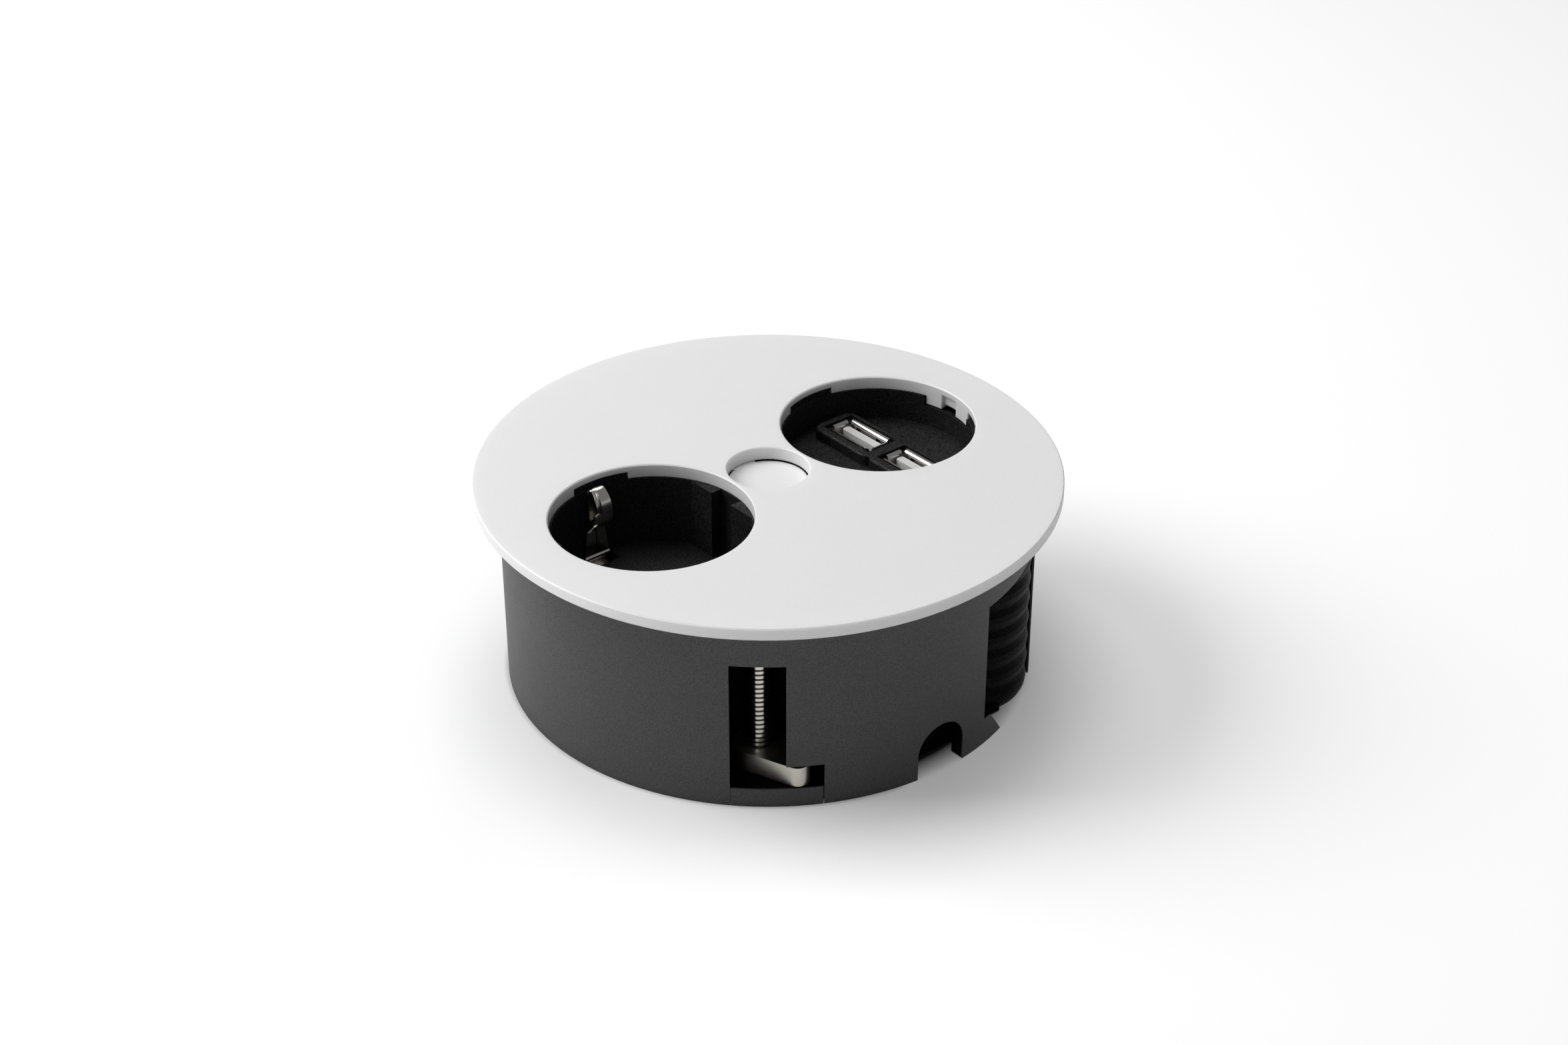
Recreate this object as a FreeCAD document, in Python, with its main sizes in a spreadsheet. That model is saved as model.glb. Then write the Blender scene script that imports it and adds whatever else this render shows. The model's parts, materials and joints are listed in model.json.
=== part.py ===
import FreeCAD, Part
import math
import os

import Sketcher

# Round power module for a desk top: one earthed socket, two charging ports, two clamps.
# Millimetres, +Z up. The origin is the centre of the round body at its lowest face.
# +X points at the charging ports, -X at the socket, -Y at the cord arch.

SIZES = [
    ("flange_reach", 5.42, "cover beyond the body's outside"),
    ("cover_top", 47.04, "height of the cover's face over the base"),
    ("cover_thickness", 2.95, "cover plate"),
    ("cover_bevel", 0.58, "bevel under the cover's rim"),
    ("edge_break", 0.25, "small chamfer on the cover's sharp edges"),
    ("opening_radius", 21.64, "each of the two large openings"),
    ("opening_bridge", 19.84, "between the two openings"),
    ("centre_hole_radius", 8.94, "hole for the button"),
    ("rim_seat", 0.3, "raised ring under the cover that rests on the body's wall"),
    ("notch_rise", 1.5, "notch in the lower half of an opening's lip"),
    ("notch_depth", 1.3, "notch, measured outwards from the opening"),
    ("notch_span", 36.2, "wide notch, degrees"),
    ("notch_lean", 5.6, "wide notch, degrees from the cross axis towards the middle"),
    ("side_notch_span", 17.3, "notch beside the hook, degrees"),
    ("hook_low", 20.2, "hook's lower end, degrees from the long axis"),
    ("hook_high", 17.4, "hook's upper end, degrees from the long axis"),
    ("hook_thickness", 1.36, "snap hook's wall"),
    ("hook_drop", 2.1, "snap hook below the cover's underside"),
    ("barb_reach", 0.5, "barb on the hook's outer face"),
    ("barb_height", 0.85, "barb on the hook's outer face"),
    ("barb_trim", 3.0, "barb shorter than its hook at each end, degrees"),
    ("recess_half_angle", 6.4, "pry recess in the hook, half its width in degrees"),
    ("recess_depth", 0.8, "pry recess, measured outwards"),
    ("web_drop", 1.05, "hook's web behind the recess, below the underside"),
    ("body_margin", 4.88, "from an opening's edge to the body's outside"),
    ("body_wall", 2.6, "round body's wall"),
    ("deck_drop", 3.9, "from the cover's underside to the deck"),
    ("deck_thickness", 2.4, "deck inside the body"),
    ("ledge_reach", 0.75, "ledge on the wall that a barb catches under"),
    ("slot_angle", -131.75, "direction of the first clamp slot, degrees"),
    ("slot_width", 11.54, "clamp slot"),
    ("slot_head", 3.29, "from a clamp slot's upper edge to the deck"),
    ("foot_reach", 13.56, "slot's foot, sideways from its middle line"),
    ("foot_height", 9.9, "slot's foot"),
    ("guard_wall", 1.5, "guard walls round a clamp"),
    ("guard_back", 6.5, "from the clamp screw's axis to the guard's back wall"),
    ("guard_room", 1.23, "from a slot's left side to the guard's left wall"),
    ("guard_side", 0.14, "from a slot's foot to the guard's right wall"),
    ("arch_width", 12.4, "cord arch in the body's lower edge"),
    ("arch_shift", -1.2, "arch's middle, along X"),
    ("jamb_depth", 3.6, "thickened wall round the arch"),
    ("jamb_width", 2.0, "thickened wall beside and above the arch"),
    ("arch_height", 11.8, "cord arch"),
    ("channel_depth", 6.1, "from the body's outside to the wall behind the arch"),
    ("channel_wall", 1.5, "wall behind the arch"),
    ("channel_half", 10.3, "half the length of the wall behind the arch"),
    ("window_start", -77.95, "window beside the cord sleeve, degrees"),
    ("window_end", -48.85, "window beside the cord sleeve, degrees"),
    ("window_head", 3.39, "from the window's upper edge to the deck"),
    ("sill_height", 6.3, "what stays of the wall below the window"),
    ("sill_width", 2.3, "sill's flat top"),
    ("sill_slope", 4.8, "sill's slanted end, along the wall"),
    ("post_radius", 3.2, "post for a base screw"),
    ("post_inset", 6.08, "from the body's outside to the posts' axes"),
    ("base_thickness", 2.0, "base cover"),
    ("base_gap", 0.2, "base cover to the body's wall"),
    ("tab_gap", 0.08, "beside the base cover's tabs"),
    ("tab_height", 4.4, "base cover's tab that closes a slot's foot"),
    ("tab_thickness", 4.6, "base cover's tab"),
    ("base_screw_radius", 1.45, "base screw's shank"),
    ("base_screw_head", 2.8, "base screw's head"),
    ("base_screw_sink", 1.0, "base screw's head height and its counterbore"),
    ("base_screw_length", 9.0, "base screw's shank"),
    ("clamp_inset", 10.68, "from the body's outside to a clamp screw's axis"),
    ("clamp_shank", 2.825, "clamp screw's thread, outside radius"),
    ("clamp_pilot", 2.0, "clamp screw's plain end"),
    ("clamp_head", 4.6, "clamp screw's head"),
    ("clamp_head_height", 2.9, "clamp screw's head"),
    ("recess_length", 5.6, "cross recess in a clamp screw's head"),
    ("recess_width", 1.1, "cross recess"),
    ("recess_sink", 1.6, "cross recess"),
    ("running_gap", 0.06, "clearance of a shaft in its hole"),
    ("washer_radius", 5.3, "washer under a clamp screw's head"),
    ("washer_thickness", 0.5, "washer under a clamp screw's head"),
    ("claw_gap", 0.3, "claw over the tab below it"),
    ("claw_thickness", 4.5, "claw"),
    ("claw_hub", 5.4, "claw's round end on the screw"),
    ("claw_tip", 2.6, "claw's other round end"),
    ("claw_length", 10.75, "between the centres of the claw's ends"),
    ("claw_parked", 47.7, "claw's turn from straight outwards, degrees"),
    ("boot_angle", -54.9, "direction of the cord sleeve, degrees"),
    ("boot_inset", 0.08, "cord sleeve's rings behind the body's outside"),
    ("boot_radius", 14.0, "cord sleeve over its rings"),
    ("ring_bulge", 0.8, "ring's rise over the valley beside it"),
    ("sleeve_neck", 2.79, "cord sleeve's plain end over its rings"),
    ("ring_count", 7, "rings on the cord sleeve"),
    ("boot_neck", 11.0, "cord sleeve's plain upper end"),
    ("cord_bore", 5.0, "radius of the cord's way through the sleeve"),
    ("boot_gap", 0.3, "room round the cord sleeve"),
    ("cup_inset", 0.44, "inserts' inside behind the openings' edge"),
    ("cup_wall", 1.5, "both inserts' wall"),
    ("insert_gap", 0.15, "inserts in the deck and keys in the notches"),
    ("key_inset", 0.7, "key's face behind the cup's inside"),
    ("ear_length", 6.5, "ear beyond an insert's wall"),
    ("ear_width", 7.0, "ear"),
    ("ear_thickness", 1.5, "ear"),
    ("ear_screw_inset", 3.1, "ear screw from an insert's wall"),
    ("ear_screw_radius", 1.25, "ear screw's shank"),
    ("ear_screw_head", 2.4, "ear screw's head"),
    ("ear_screw_head_height", 1.5, "ear screw's head"),
    ("socket_depth", 19.0, "socket's floor below the cover's face"),
    ("socket_floor", 2.5, "socket's floor"),
    ("flat_depth", 2.7, "socket's flats from its round wall"),
    ("groove_width", 6.6, "groove in each flat"),
    ("pin_offset", 9.5, "pin hole from the socket's axis"),
    ("pin_hole", 2.8, "pin hole's radius"),
    ("sleeve_inside", 2.45, "contact sleeve's bore radius"),
    ("sleeve_wall", 0.8, "contact sleeve"),
    ("sleeve_floor", 2.0, "carrier below a contact sleeve"),
    ("sleeve_slit", 0.8, "slits in a contact sleeve's mouth"),
    ("carrier_radius", 18.6, "block under the socket's floor"),
    ("carrier_gap", 5.94, "from the base cover to the block under the socket's floor"),
    ("strap_thickness", 0.6, "earth strap's sheet"),
    ("strap_width", 5.3, "earth strap under the floor"),
    ("strap_foot", 6.4, "earth strap's width where an arm leaves the floor"),
    ("strap_tip", 4.8, "width of an arm's spring loop"),
    ("strap_slit", 0.3, "slit up the middle of each spring arm"),
    ("strap_window", 4.1, "opening in the floor in front of each arm"),
    ("fold_radius", 0.45, "rounded fold across an arm's foot"),
    ("arm_inset", 0.7, "spring arm from the socket's round wall"),
    ("neck_height", 6.3, "straight neck of a spring arm, over the floor"),
    ("crest_width", 3.4, "width of the loop's crest"),
    ("ramp_reach", 2.45, "spring loop's lower ramp, inwards"),
    ("ramp_rise", 2.8, "spring loop's lower ramp, upwards"),
    ("nose_reach", 3.1, "spring loop's contact nose, inwards from the neck"),
    ("nose_rise", 5.5, "spring loop's contact nose, over the neck"),
    ("brow_reach", 1.9, "spring loop's upper bend, inwards from the neck"),
    ("brow_rise", 8.7, "spring loop's upper bend, over the neck"),
    ("crest_reach", 0.95, "spring loop's crest, inwards from the neck"),
    ("crest_rise", 10.0, "spring loop's crest, over the neck"),
    ("return_gap", 2.6, "loop's free end over the neck"),
    ("usb_depth", 10.24, "port insert's floor below the cover's face"),
    ("usb_floor", 1.6, "port insert's floor"),
    ("port_pitch", 18.2, "between the two ports' centres"),
    ("port_shift", 2.8, "ports' middle line from the insert's axis"),
    ("frame_overlap", 1.2, "the two raised frames run into each other"),
    ("frame_width", 11.7, "raised frame round a port"),
    ("frame_shift", 0.3, "frame's middle from the port's, towards the body's axis"),
    ("frame_height", 2.6, "raised frame over the floor"),
    ("frame_round", 2.6, "raised frame's corners"),
    ("frame_ease", 0.6, "rounding of the frame's upper edge"),
    ("shell_length", 13.1, "port shell, outside"),
    ("shell_width", 5.7, "port shell, outside"),
    ("shell_wall", 0.3, "port shell's sheet"),
    ("shell_height", 13.7, "port shell"),
    ("lip_length", 14.7, "over the port's two short lips"),
    ("lip_width", 7.6, "over the port's two long lips"),
    ("lip_height", 0.95, "flared lips"),
    ("lip_flare", 0.8, "lips' slanted inner side"),
    ("lip_round", 0.2, "rounding of the lips' outer upper edges"),
    ("lip_sink", 0.1, "lips below the frame's top"),
    ("lip_gap", 0.4, "well round the lips in the frame"),
    ("spring_hole", 1.4, "spring hole in a port shell's wall"),
    ("spring_offset", 3.3, "spring hole from the port's middle"),
    ("tongue_width", 11.8, "contact tongue"),
    ("tongue_thickness", 2.0, "contact tongue"),
    ("tongue_shift", 0.8, "contact tongue from the port's middle"),
    ("tongue_drop", 1.1, "contact tongue below the lips"),
    ("tongue_round", 0.6, "contact tongue's upright corners"),
    ("contact_drop", 2.2, "contact strips below the tongue's end"),
    ("tongue_foot", 2.2, "block that carries the tongue"),
    ("contact_width", 1.0, "port contact"),
    ("contact_thickness", 0.15, "port contact"),
    ("board_thickness", 1.6, "charger's circuit board"),
    ("board_margin", 4.7, "circuit board beyond the two ports, along Y"),
    ("board_room", 5.0, "between the transformer and the capacitors"),
    ("leg_radius", 2.0, "legs of the port insert on the board"),
    ("transformer_length", 17.0, "transformer, along Y"),
    ("transformer_width", 14.0, "transformer, along X"),
    ("transformer_height", 12.5, "transformer"),
    ("capacitor_radius", 4.0, "smoothing capacitor"),
    ("capacitor_height", 13.0, "smoothing capacitor"),
    ("button_radius", 8.7, "button's face"),
    ("button_thickness", 1.9, "button's disc"),
    ("button_dome", 0.3, "button's crown"),
    ("button_travel", 1.5, "button's way down"),
    ("button_lug", 1.4, "two lugs that hold the button under the cover, outwards"),
    ("lug_span", 40.0, "each lug, degrees"),
    ("stem_radius", 2.5, "button's stem"),
    ("stem_length", 2.6, "button's stem"),
    ("plunger_radius", 1.9, "switch plunger"),
    ("plunger_length", 6.0, "switch plunger"),
    ("switch_side", 12.0, "switch body"),
    ("switch_height", 9.5, "switch body"),
    ("terminal_length", 22.0, "terminal block, along X"),
    ("terminal_width", 12.0, "terminal block, along Y"),
    ("terminal_height", 14.0, "terminal block"),
    ("terminal_x", -3.0, "terminal block's middle"),
    ("terminal_y", -24.0, "terminal block's middle"),
    ("terminal_pitch", 7.0, "between its three poles"),
    ("terminal_screw", 1.9, "terminal screw's radius"),
    ("terminal_rim", 1.2, "terminal block's flange"),
    ("wire_hole", 1.6, "wire hole's radius"),
]

CUT_EXTRA = 1.0
SLIT_SHARE = 8.0 / 15.0
UP = FreeCAD.Vector(0, 0, 1)


class Dim:
    """A size: its number, and the text that ties a property to the sheet."""

    def __init__(self, number, text):
        self.number = number
        self.text = text

    def join(self, other, sign, number):
        return Dim(number, f"({self.text} {sign} {as_dim(other).text})")

    def __add__(self, other):
        return self.join(other, "+", self.number + as_dim(other).number)

    def __sub__(self, other):
        return self.join(other, "-", self.number - as_dim(other).number)

    def __mul__(self, other):
        return self.join(other, "*", self.number * as_dim(other).number)

    def __truediv__(self, other):
        return self.join(other, "/", self.number / as_dim(other).number)

    def __radd__(self, other):
        return as_dim(other) + self

    def __rsub__(self, other):
        return as_dim(other) - self

    def __rmul__(self, other):
        return as_dim(other) * self

    def __neg__(self):
        return as_dim(0) - self


def as_dim(value):
    return value if isinstance(value, Dim) else Dim(float(value), repr(float(value)))


def cosine(angle):
    return Dim(math.cos(math.radians(angle.number)), f"cos({angle.text})")


def sine(angle):
    return Dim(math.sin(math.radians(angle.number)), f"sin({angle.text})")


def square_root(value):
    return Dim(math.sqrt(value.number), f"sqrt({value.text})")


doc = FreeCAD.newDocument("desk_module")
sheet = doc.addObject("Spreadsheet::Sheet", "sizes")
for row, (alias, number, meaning) in enumerate(SIZES, start=1):
    sheet.set(f"A{row}", meaning)
    sheet.set(f"B{row}", str(number))
    sheet.setAlias(f"B{row}", alias)
doc.recompute()
S = {alias: Dim(float(number), f"sizes.{alias}") for alias, number, meaning in SIZES}

# Distances that follow from the openings, outwards
S["opening_offset"] = S["opening_radius"] + S["opening_bridge"] / 2.0
S["body_radius"] = S["opening_offset"] + S["opening_radius"] + S["body_margin"]
S["cover_radius"] = S["body_radius"] + S["flange_reach"]
S["post_circle"] = S["body_radius"] - S["post_inset"]
S["clamp_radius"] = S["body_radius"] - S["clamp_inset"]
S["cup_radius"] = S["opening_radius"] - S["cup_inset"]
S["flat_offset"] = S["cup_radius"] - S["flat_depth"]
S["arm_root"] = S["cup_radius"] - S["arm_inset"]
S["ear_reach"] = S["cup_radius"] + S["cup_wall"] + S["ear_length"]
S["ear_screw_offset"] = S["cup_radius"] + S["cup_wall"] + S["ear_screw_inset"]

# Levels and radii that several pieces share
COVER_UNDER = S["cover_top"] - S["cover_thickness"]
WALL_TOP = COVER_UNDER - S["rim_seat"]
DECK_TOP = COVER_UNDER - S["deck_drop"]
DECK_UNDER = DECK_TOP - S["deck_thickness"]
SLOT_TOP = DECK_UNDER - S["slot_head"]
WINDOW_TOP = DECK_UNDER - S["window_head"]
BODY_INSIDE = S["body_radius"] - S["body_wall"]
BASE_RADIUS = BODY_INSIDE - S["base_gap"]
CUP_OUTSIDE = S["cup_radius"] + S["cup_wall"]
SOCKET_FLOOR_TOP = S["cover_top"] - S["socket_depth"]
SOCKET_FLOOR_UNDER = SOCKET_FLOOR_TOP - S["socket_floor"]
STRAP_UNDER = SOCKET_FLOOR_UNDER - S["strap_thickness"]
CARRIER_UNDER = S["base_thickness"] + S["carrier_gap"]
SLEEVE_UNDER = CARRIER_UNDER + S["sleeve_floor"]
SLIT_UNDER = STRAP_UNDER - (STRAP_UNDER - SLEEVE_UNDER) * SLIT_SHARE
USB_FLOOR_TOP = S["cover_top"] - S["usb_depth"]
USB_FLOOR_UNDER = USB_FLOOR_TOP - S["usb_floor"]
FRAME_TOP = USB_FLOOR_TOP + S["frame_height"]
LIP_TOP = FRAME_TOP - S["lip_sink"]
BOARD_TOP = LIP_TOP - S["shell_height"]
BOARD_UNDER = BOARD_TOP - S["board_thickness"]
HEAD_UNDER = DECK_TOP + S["washer_thickness"]
CLAW_UNDER = S["tab_height"] + S["claw_gap"]
CLAW_TOP = CLAW_UNDER + S["claw_thickness"]
PILOT_TOP = CLAW_UNDER - S["claw_gap"]
BUTTON_TOP = COVER_UNDER
BUTTON_UNDER = BUTTON_TOP - S["button_thickness"]
STEM_UNDER = BUTTON_UNDER - S["stem_length"]
RINGS_TOP = DECK_UNDER - S["sleeve_neck"]
RING_PITCH = RINGS_TOP / S["ring_count"]
FRAME_LENGTH = S["port_pitch"] + S["frame_overlap"]
BOARD_LENGTH = S["port_pitch"] + S["shell_length"] + S["board_margin"]
BOARD_WIDTH = (S["transformer_width"] + S["capacitor_radius"] * 2.0 + S["leg_radius"] * 2.0
               + S["board_room"])

# The socket's opening is at -X and the ports' opening at +X
SIDES = {"socket": -1, "usb": 1}
CLAMPS = {"front": 0.0, "back": 180.0}
PORTS = {"far": 1, "near": -1}
POST_ANGLES = (90.0, 143.0, -105.0, -25.0)

# Steps of a shallow curve, as shares of its length
CROWN_SHARES = (0.0, 0.25, 0.5, 0.75, 1.0)


def tie(item, prop, size):
    """Ties one property to the sheet."""
    item.setExpression(prop, as_dim(size).text)


def place(item, x=0, y=0, z=0, turn=0, prop="Placement"):
    """Puts an item at a point and turns it about the vertical."""
    x, y, z, turn = as_dim(x), as_dim(y), as_dim(z), as_dim(turn)
    base = FreeCAD.Vector(x.number, y.number, z.number)
    setattr(item, prop, FreeCAD.Placement(base, FreeCAD.Rotation(UP, turn.number)))
    for letter, size in (("x", x), ("y", y), ("z", z)):
        tie(item, f"{prop}.Base.{letter}", size)
    if turn.number:
        tie(item, f"{prop}.Rotation.Angle", turn)


def polar(along, across, turn):
    """A point given along and across a direction, as x and y."""
    turn = as_dim(turn)
    x = along * cosine(turn) - across * sine(turn)
    y = along * sine(turn) + across * cosine(turn)
    return x, y


BOOT_CIRCLE = S["body_radius"] - S["boot_inset"] - S["boot_radius"]
BOOT_X, BOOT_Y = polar(BOOT_CIRCLE, 0, S["boot_angle"])


def new_body(name):
    body = doc.addObject("PartDesign::Body", name)
    body.Label = name
    return body


def primitive(body, kind, name, x=0, y=0, z=0, turn=0, **sizes):
    """Adds a box, cylinder or cone to the body, or cuts one from it."""
    item = body.newObject("PartDesign::" + kind, name)
    place(item, x, y, z, turn)
    for prop, size in sizes.items():
        tie(item, prop, size)
    return item


def ring_add(body, name, radius, low, high, x=0, y=0):
    return primitive(body, "AdditiveCylinder", name, x, y, low, Radius=radius, Height=high - low)


def ring_cut(body, name, radius, low, high, x=0, y=0):
    return primitive(body, "SubtractiveCylinder", name, x, y, low, Radius=radius, Height=high - low)


def sector(body, kind, name, radius, low, high, x, start, span):
    """A slice of a round piece between two directions."""
    return primitive(body, kind, name, x, 0, low, start, Radius=radius, Height=high - low, Angle=span)


def block(body, kind, name, x_low, x_high, y_low, y_high, low, high, turn=0):
    """A box between two corners, turned about the body's axis."""
    x_low, y_low = as_dim(x_low), as_dim(y_low)
    x, y = polar(x_low, y_low, turn) if as_dim(turn).number else (x_low, y_low)
    return primitive(body, kind, name, x, y, low, turn,
                     Length=x_high - x_low, Width=y_high - y_low, Height=high - low)


def origin_plane(body, role):
    return next(item for item in body.Origin.OriginFeatures if item.Role == role)


def sketch_on(body, name, role, shift=0, tilt=None):
    """A sketch on one of the body's planes, shifted along it or turned about the vertical."""
    sketch = body.newObject("Sketcher::SketchObject", name)
    sketch.AttachmentSupport = [(origin_plane(body, role), "")]
    sketch.MapMode = "FlatFace"
    shift = as_dim(shift)
    turn = FreeCAD.Rotation()
    if tilt is not None:
        turn = FreeCAD.Rotation(FreeCAD.Vector(0, 1, 0), as_dim(tilt).number)
    sketch.AttachmentOffset = FreeCAD.Placement(FreeCAD.Vector(shift.number, 0, 0), turn)
    if shift.number:
        tie(sketch, "AttachmentOffset.Base.x", shift)
    if tilt is not None:
        tie(sketch, "AttachmentOffset.Rotation.Angle", tilt)
    return sketch


def pin_point(sketch, geometry, end, x, y):
    """Holds one end of a line at a place from the sheet."""
    for kind, size in (("DistanceX", as_dim(x)), ("DistanceY", as_dim(y))):
        index = sketch.addConstraint(Sketcher.Constraint(kind, -1, 1, geometry, end, size.number))
        tie(sketch, f"Constraints[{index}]", size)


def outline(sketch, corners):
    """A closed outline of straight lines through the corners."""
    points = [FreeCAD.Vector(as_dim(x).number, as_dim(y).number, 0) for x, y in corners]
    count = len(points)
    for index, start in enumerate(points):
        sketch.addGeometry(Part.LineSegment(start, points[(index + 1) % count]), False)
    for index in range(count):
        sketch.addConstraint(Sketcher.Constraint("Coincident", index, 2, (index + 1) % count, 1))
    for index, (x, y) in enumerate(corners):
        pin_point(sketch, index, 1, x, y)
    return sketch


def revolve(body, name, corners, shift=0, tilt=None, span=None, kind="Revolution"):
    """Turns an outline of radius and height about the vertical."""
    sketch = outline(sketch_on(body, name + "_profile", "XZ_Plane", shift, tilt), corners)
    feature = body.newObject("PartDesign::" + kind, name)
    feature.Profile = sketch
    feature.ReferenceAxis = (sketch, ["V_Axis"])
    feature.Angle = 360.0
    if span is not None:
        tie(feature, "Angle", span)
        feature.Midplane = True
    return feature


def rounded_pad(body, name, corners, low, height, kind="Pad"):
    """Raises a flat outline by a height."""
    sketch = outline(sketch_on(body, name + "_outline", "XY_Plane"), corners)
    tie(sketch, "AttachmentOffset.Base.z", low)
    feature = body.newObject("PartDesign::" + kind, name)
    feature.Profile = sketch
    tie(feature, "Length", height)
    return feature


def edges_of(shape, test):
    return [f"Edge{index}" for index, edge in enumerate(shape.Edges, start=1) if test(edge)]


def level_ring(edge, radius, level, x=None):
    """True for a round edge of that radius at that height."""
    curve = edge.Curve
    if not isinstance(curve, Part.Circle):
        return False
    near = abs(curve.Radius - radius) < 0.01 and abs(curve.Center.z - level) < 0.01
    return near and (x is None or abs(curve.Center.x - x) < 0.01)


def ease(body, name, kind, test, size):
    """Chamfers or rounds the edges that pass the test."""
    doc.recompute()
    base = body.Tip
    feature = body.newObject("PartDesign::" + kind, name)
    feature.Base = (base, edges_of(base.Shape, test))
    tie(feature, "Size" if kind == "Chamfer" else "Radius", size)
    return feature


def mirrored_start(side, start, span):
    """The same slice of the other opening, mirrored in the plane between them."""
    return start if side > 0 else 180.0 - start - span


def slices_of(side):
    """Start and span of the two lip notches, the hook, its recess and the notch beside it."""
    wide, high, low = S["notch_span"], S["hook_high"], S["hook_low"]
    spans = {
        "far_notch": (90.0 + S["notch_lean"] - wide / 2.0, wide),
        "near_notch": (-90.0 - S["notch_lean"] - wide / 2.0, wide),
        "side_notch": (-low - S["side_notch_span"], S["side_notch_span"]),
        "hook": (-low, high + low),
        "recess": (-S["recess_half_angle"], S["recess_half_angle"] * 2.0),
    }
    return {name: (mirrored_start(side, start, span), span) for name, (start, span) in spans.items()}


def build_cover():
    """White cover: bevelled disc with a ring that rests on the wall, two notched openings, snap hooks."""
    body = new_body("cover_plate")
    rim = S["cover_radius"] - S["cover_bevel"]
    bevel_top = COVER_UNDER + S["cover_bevel"]
    seat_inner, seat_outer = BODY_INSIDE - S["base_gap"], S["body_radius"] + S["base_gap"]
    revolve(body, "cover_disc", [
        (0, COVER_UNDER), (seat_inner, COVER_UNDER), (seat_inner, WALL_TOP), (seat_outer, WALL_TOP),
        (seat_outer, COVER_UNDER), (rim, COVER_UNDER), (S["cover_radius"], bevel_top),
        (S["cover_radius"], S["cover_top"]), (0, S["cover_top"])])
    hook_low = COVER_UNDER - S["hook_drop"]
    hook_out = S["opening_radius"] + S["hook_thickness"]
    barb_out = hook_out + S["barb_reach"]
    for label, side in SIDES.items():
        x = S["opening_offset"] * side
        start, span = slices_of(side)["hook"]
        sector(body, "AdditiveCylinder", f"hook_{label}", hook_out, hook_low, COVER_UNDER, x, start, span)
        sector(body, "AdditiveCylinder", f"barb_{label}", barb_out, hook_low,
               hook_low + S["barb_height"], x, start + S["barb_trim"], span - S["barb_trim"] * 2.0)
    for label, side in SIDES.items():
        x = S["opening_offset"] * side
        slices = slices_of(side)
        ring_cut(body, f"opening_{label}", S["opening_radius"], hook_low - CUT_EXTRA,
                 S["cover_top"] + CUT_EXTRA, x)
        start, span = slices["recess"]
        sector(body, "SubtractiveCylinder", f"recess_{label}", S["opening_radius"] + S["recess_depth"],
               hook_low - CUT_EXTRA, COVER_UNDER + S["notch_rise"], x, start, span)
        sector(body, "SubtractiveCylinder", f"web_{label}", barb_out + CUT_EXTRA / 2.0,
               hook_low - CUT_EXTRA, COVER_UNDER - S["web_drop"], x, start, span)
        for name in ("far_notch", "near_notch", "side_notch"):
            start, span = slices[name]
            sector(body, "SubtractiveCylinder", f"{name}_{label}", S["opening_radius"] + S["notch_depth"],
                   COVER_UNDER - 0.01, COVER_UNDER + S["notch_rise"], x, start, span)
    ring_cut(body, "centre_hole", S["centre_hole_radius"], COVER_UNDER - CUT_EXTRA,
             S["cover_top"] + CUT_EXTRA)
    top = S["cover_top"].number
    radii = [S[name].number for name in ("cover_radius", "opening_radius", "centre_hole_radius")]
    ease(body, "edge_break", "Chamfer",
         lambda edge: any(level_ring(edge, radius, top) for radius in radii), S["edge_break"])
    return body


def build_housing():
    """Body: round wall and deck, clamp slots with guards, cord arch, window, posts and ledges."""
    body = new_body("housing")
    revolve(body, "wall_and_deck", [
        (BODY_INSIDE, 0), (S["body_radius"], 0), (S["body_radius"], WALL_TOP),
        (BODY_INSIDE, WALL_TOP), (BODY_INSIDE, DECK_TOP), (0, DECK_TOP),
        (0, DECK_UNDER), (BODY_INSIDE, DECK_UNDER)])
    add_guards(body)
    add_channel_wall(body)
    add_posts(body)
    add_ledges(body)
    cut_slots(body)
    cut_arch(body)
    cut_window(body)
    cut_deck(body)
    return body


def add_guards(body):
    """Three walls round each clamp, open towards its slot."""
    wall = S["guard_wall"]
    low = S["base_thickness"] + S["boot_gap"]
    back = S["clamp_radius"] - S["guard_back"]
    left = -(S["slot_width"] / 2.0 + S["guard_room"])
    right = S["foot_reach"] + S["guard_side"]
    left_end = S["body_radius"] - S["body_wall"]
    right_end = left_end - S["guard_wall"]
    for label, half_turn in CLAMPS.items():
        turn = S["slot_angle"] + half_turn
        block(body, "AdditiveBox", f"guard_back_{label}", back - wall, back, left - wall, right + wall,
              low, DECK_TOP, turn)
        block(body, "AdditiveBox", f"guard_left_{label}", back - wall, left_end, left - wall, left,
              low, DECK_TOP, turn)
        block(body, "AdditiveBox", f"guard_right_{label}", back - wall, right_end, right, right + wall,
              low, DECK_TOP, turn)


def add_channel_wall(body):
    """Wall behind the cord arch, and the thickened wall round it."""
    outer = -(S["body_radius"] - S["channel_depth"])
    block(body, "AdditiveBox", "channel_wall", -S["channel_half"], S["channel_half"],
          outer, outer + S["channel_wall"], 0, DECK_TOP)
    half = S["arch_width"] / 2.0 + S["jamb_width"]
    block(body, "AdditiveBox", "arch_jamb", S["arch_shift"] - half, S["arch_shift"] + half,
          -S["body_radius"] + S["body_wall"] / 2.0, -S["body_radius"] + S["jamb_depth"],
          0, S["arch_height"] + S["jamb_width"])


def add_posts(body):
    """Posts for the base screws, from the deck down to the base cover."""
    for index, angle in enumerate(POST_ANGLES):
        x, y = polar(S["post_circle"], 0, angle)
        ring_add(body, f"post_{index}", S["post_radius"], S["base_thickness"], DECK_TOP, x, y)
    for index, angle in enumerate(POST_ANGLES):
        x, y = polar(S["post_circle"], 0, angle)
        ring_cut(body, f"post_hole_{index}", S["base_screw_radius"], 0,
                 S["base_screw_sink"] + S["base_screw_length"] + CUT_EXTRA, x, y)


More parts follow.
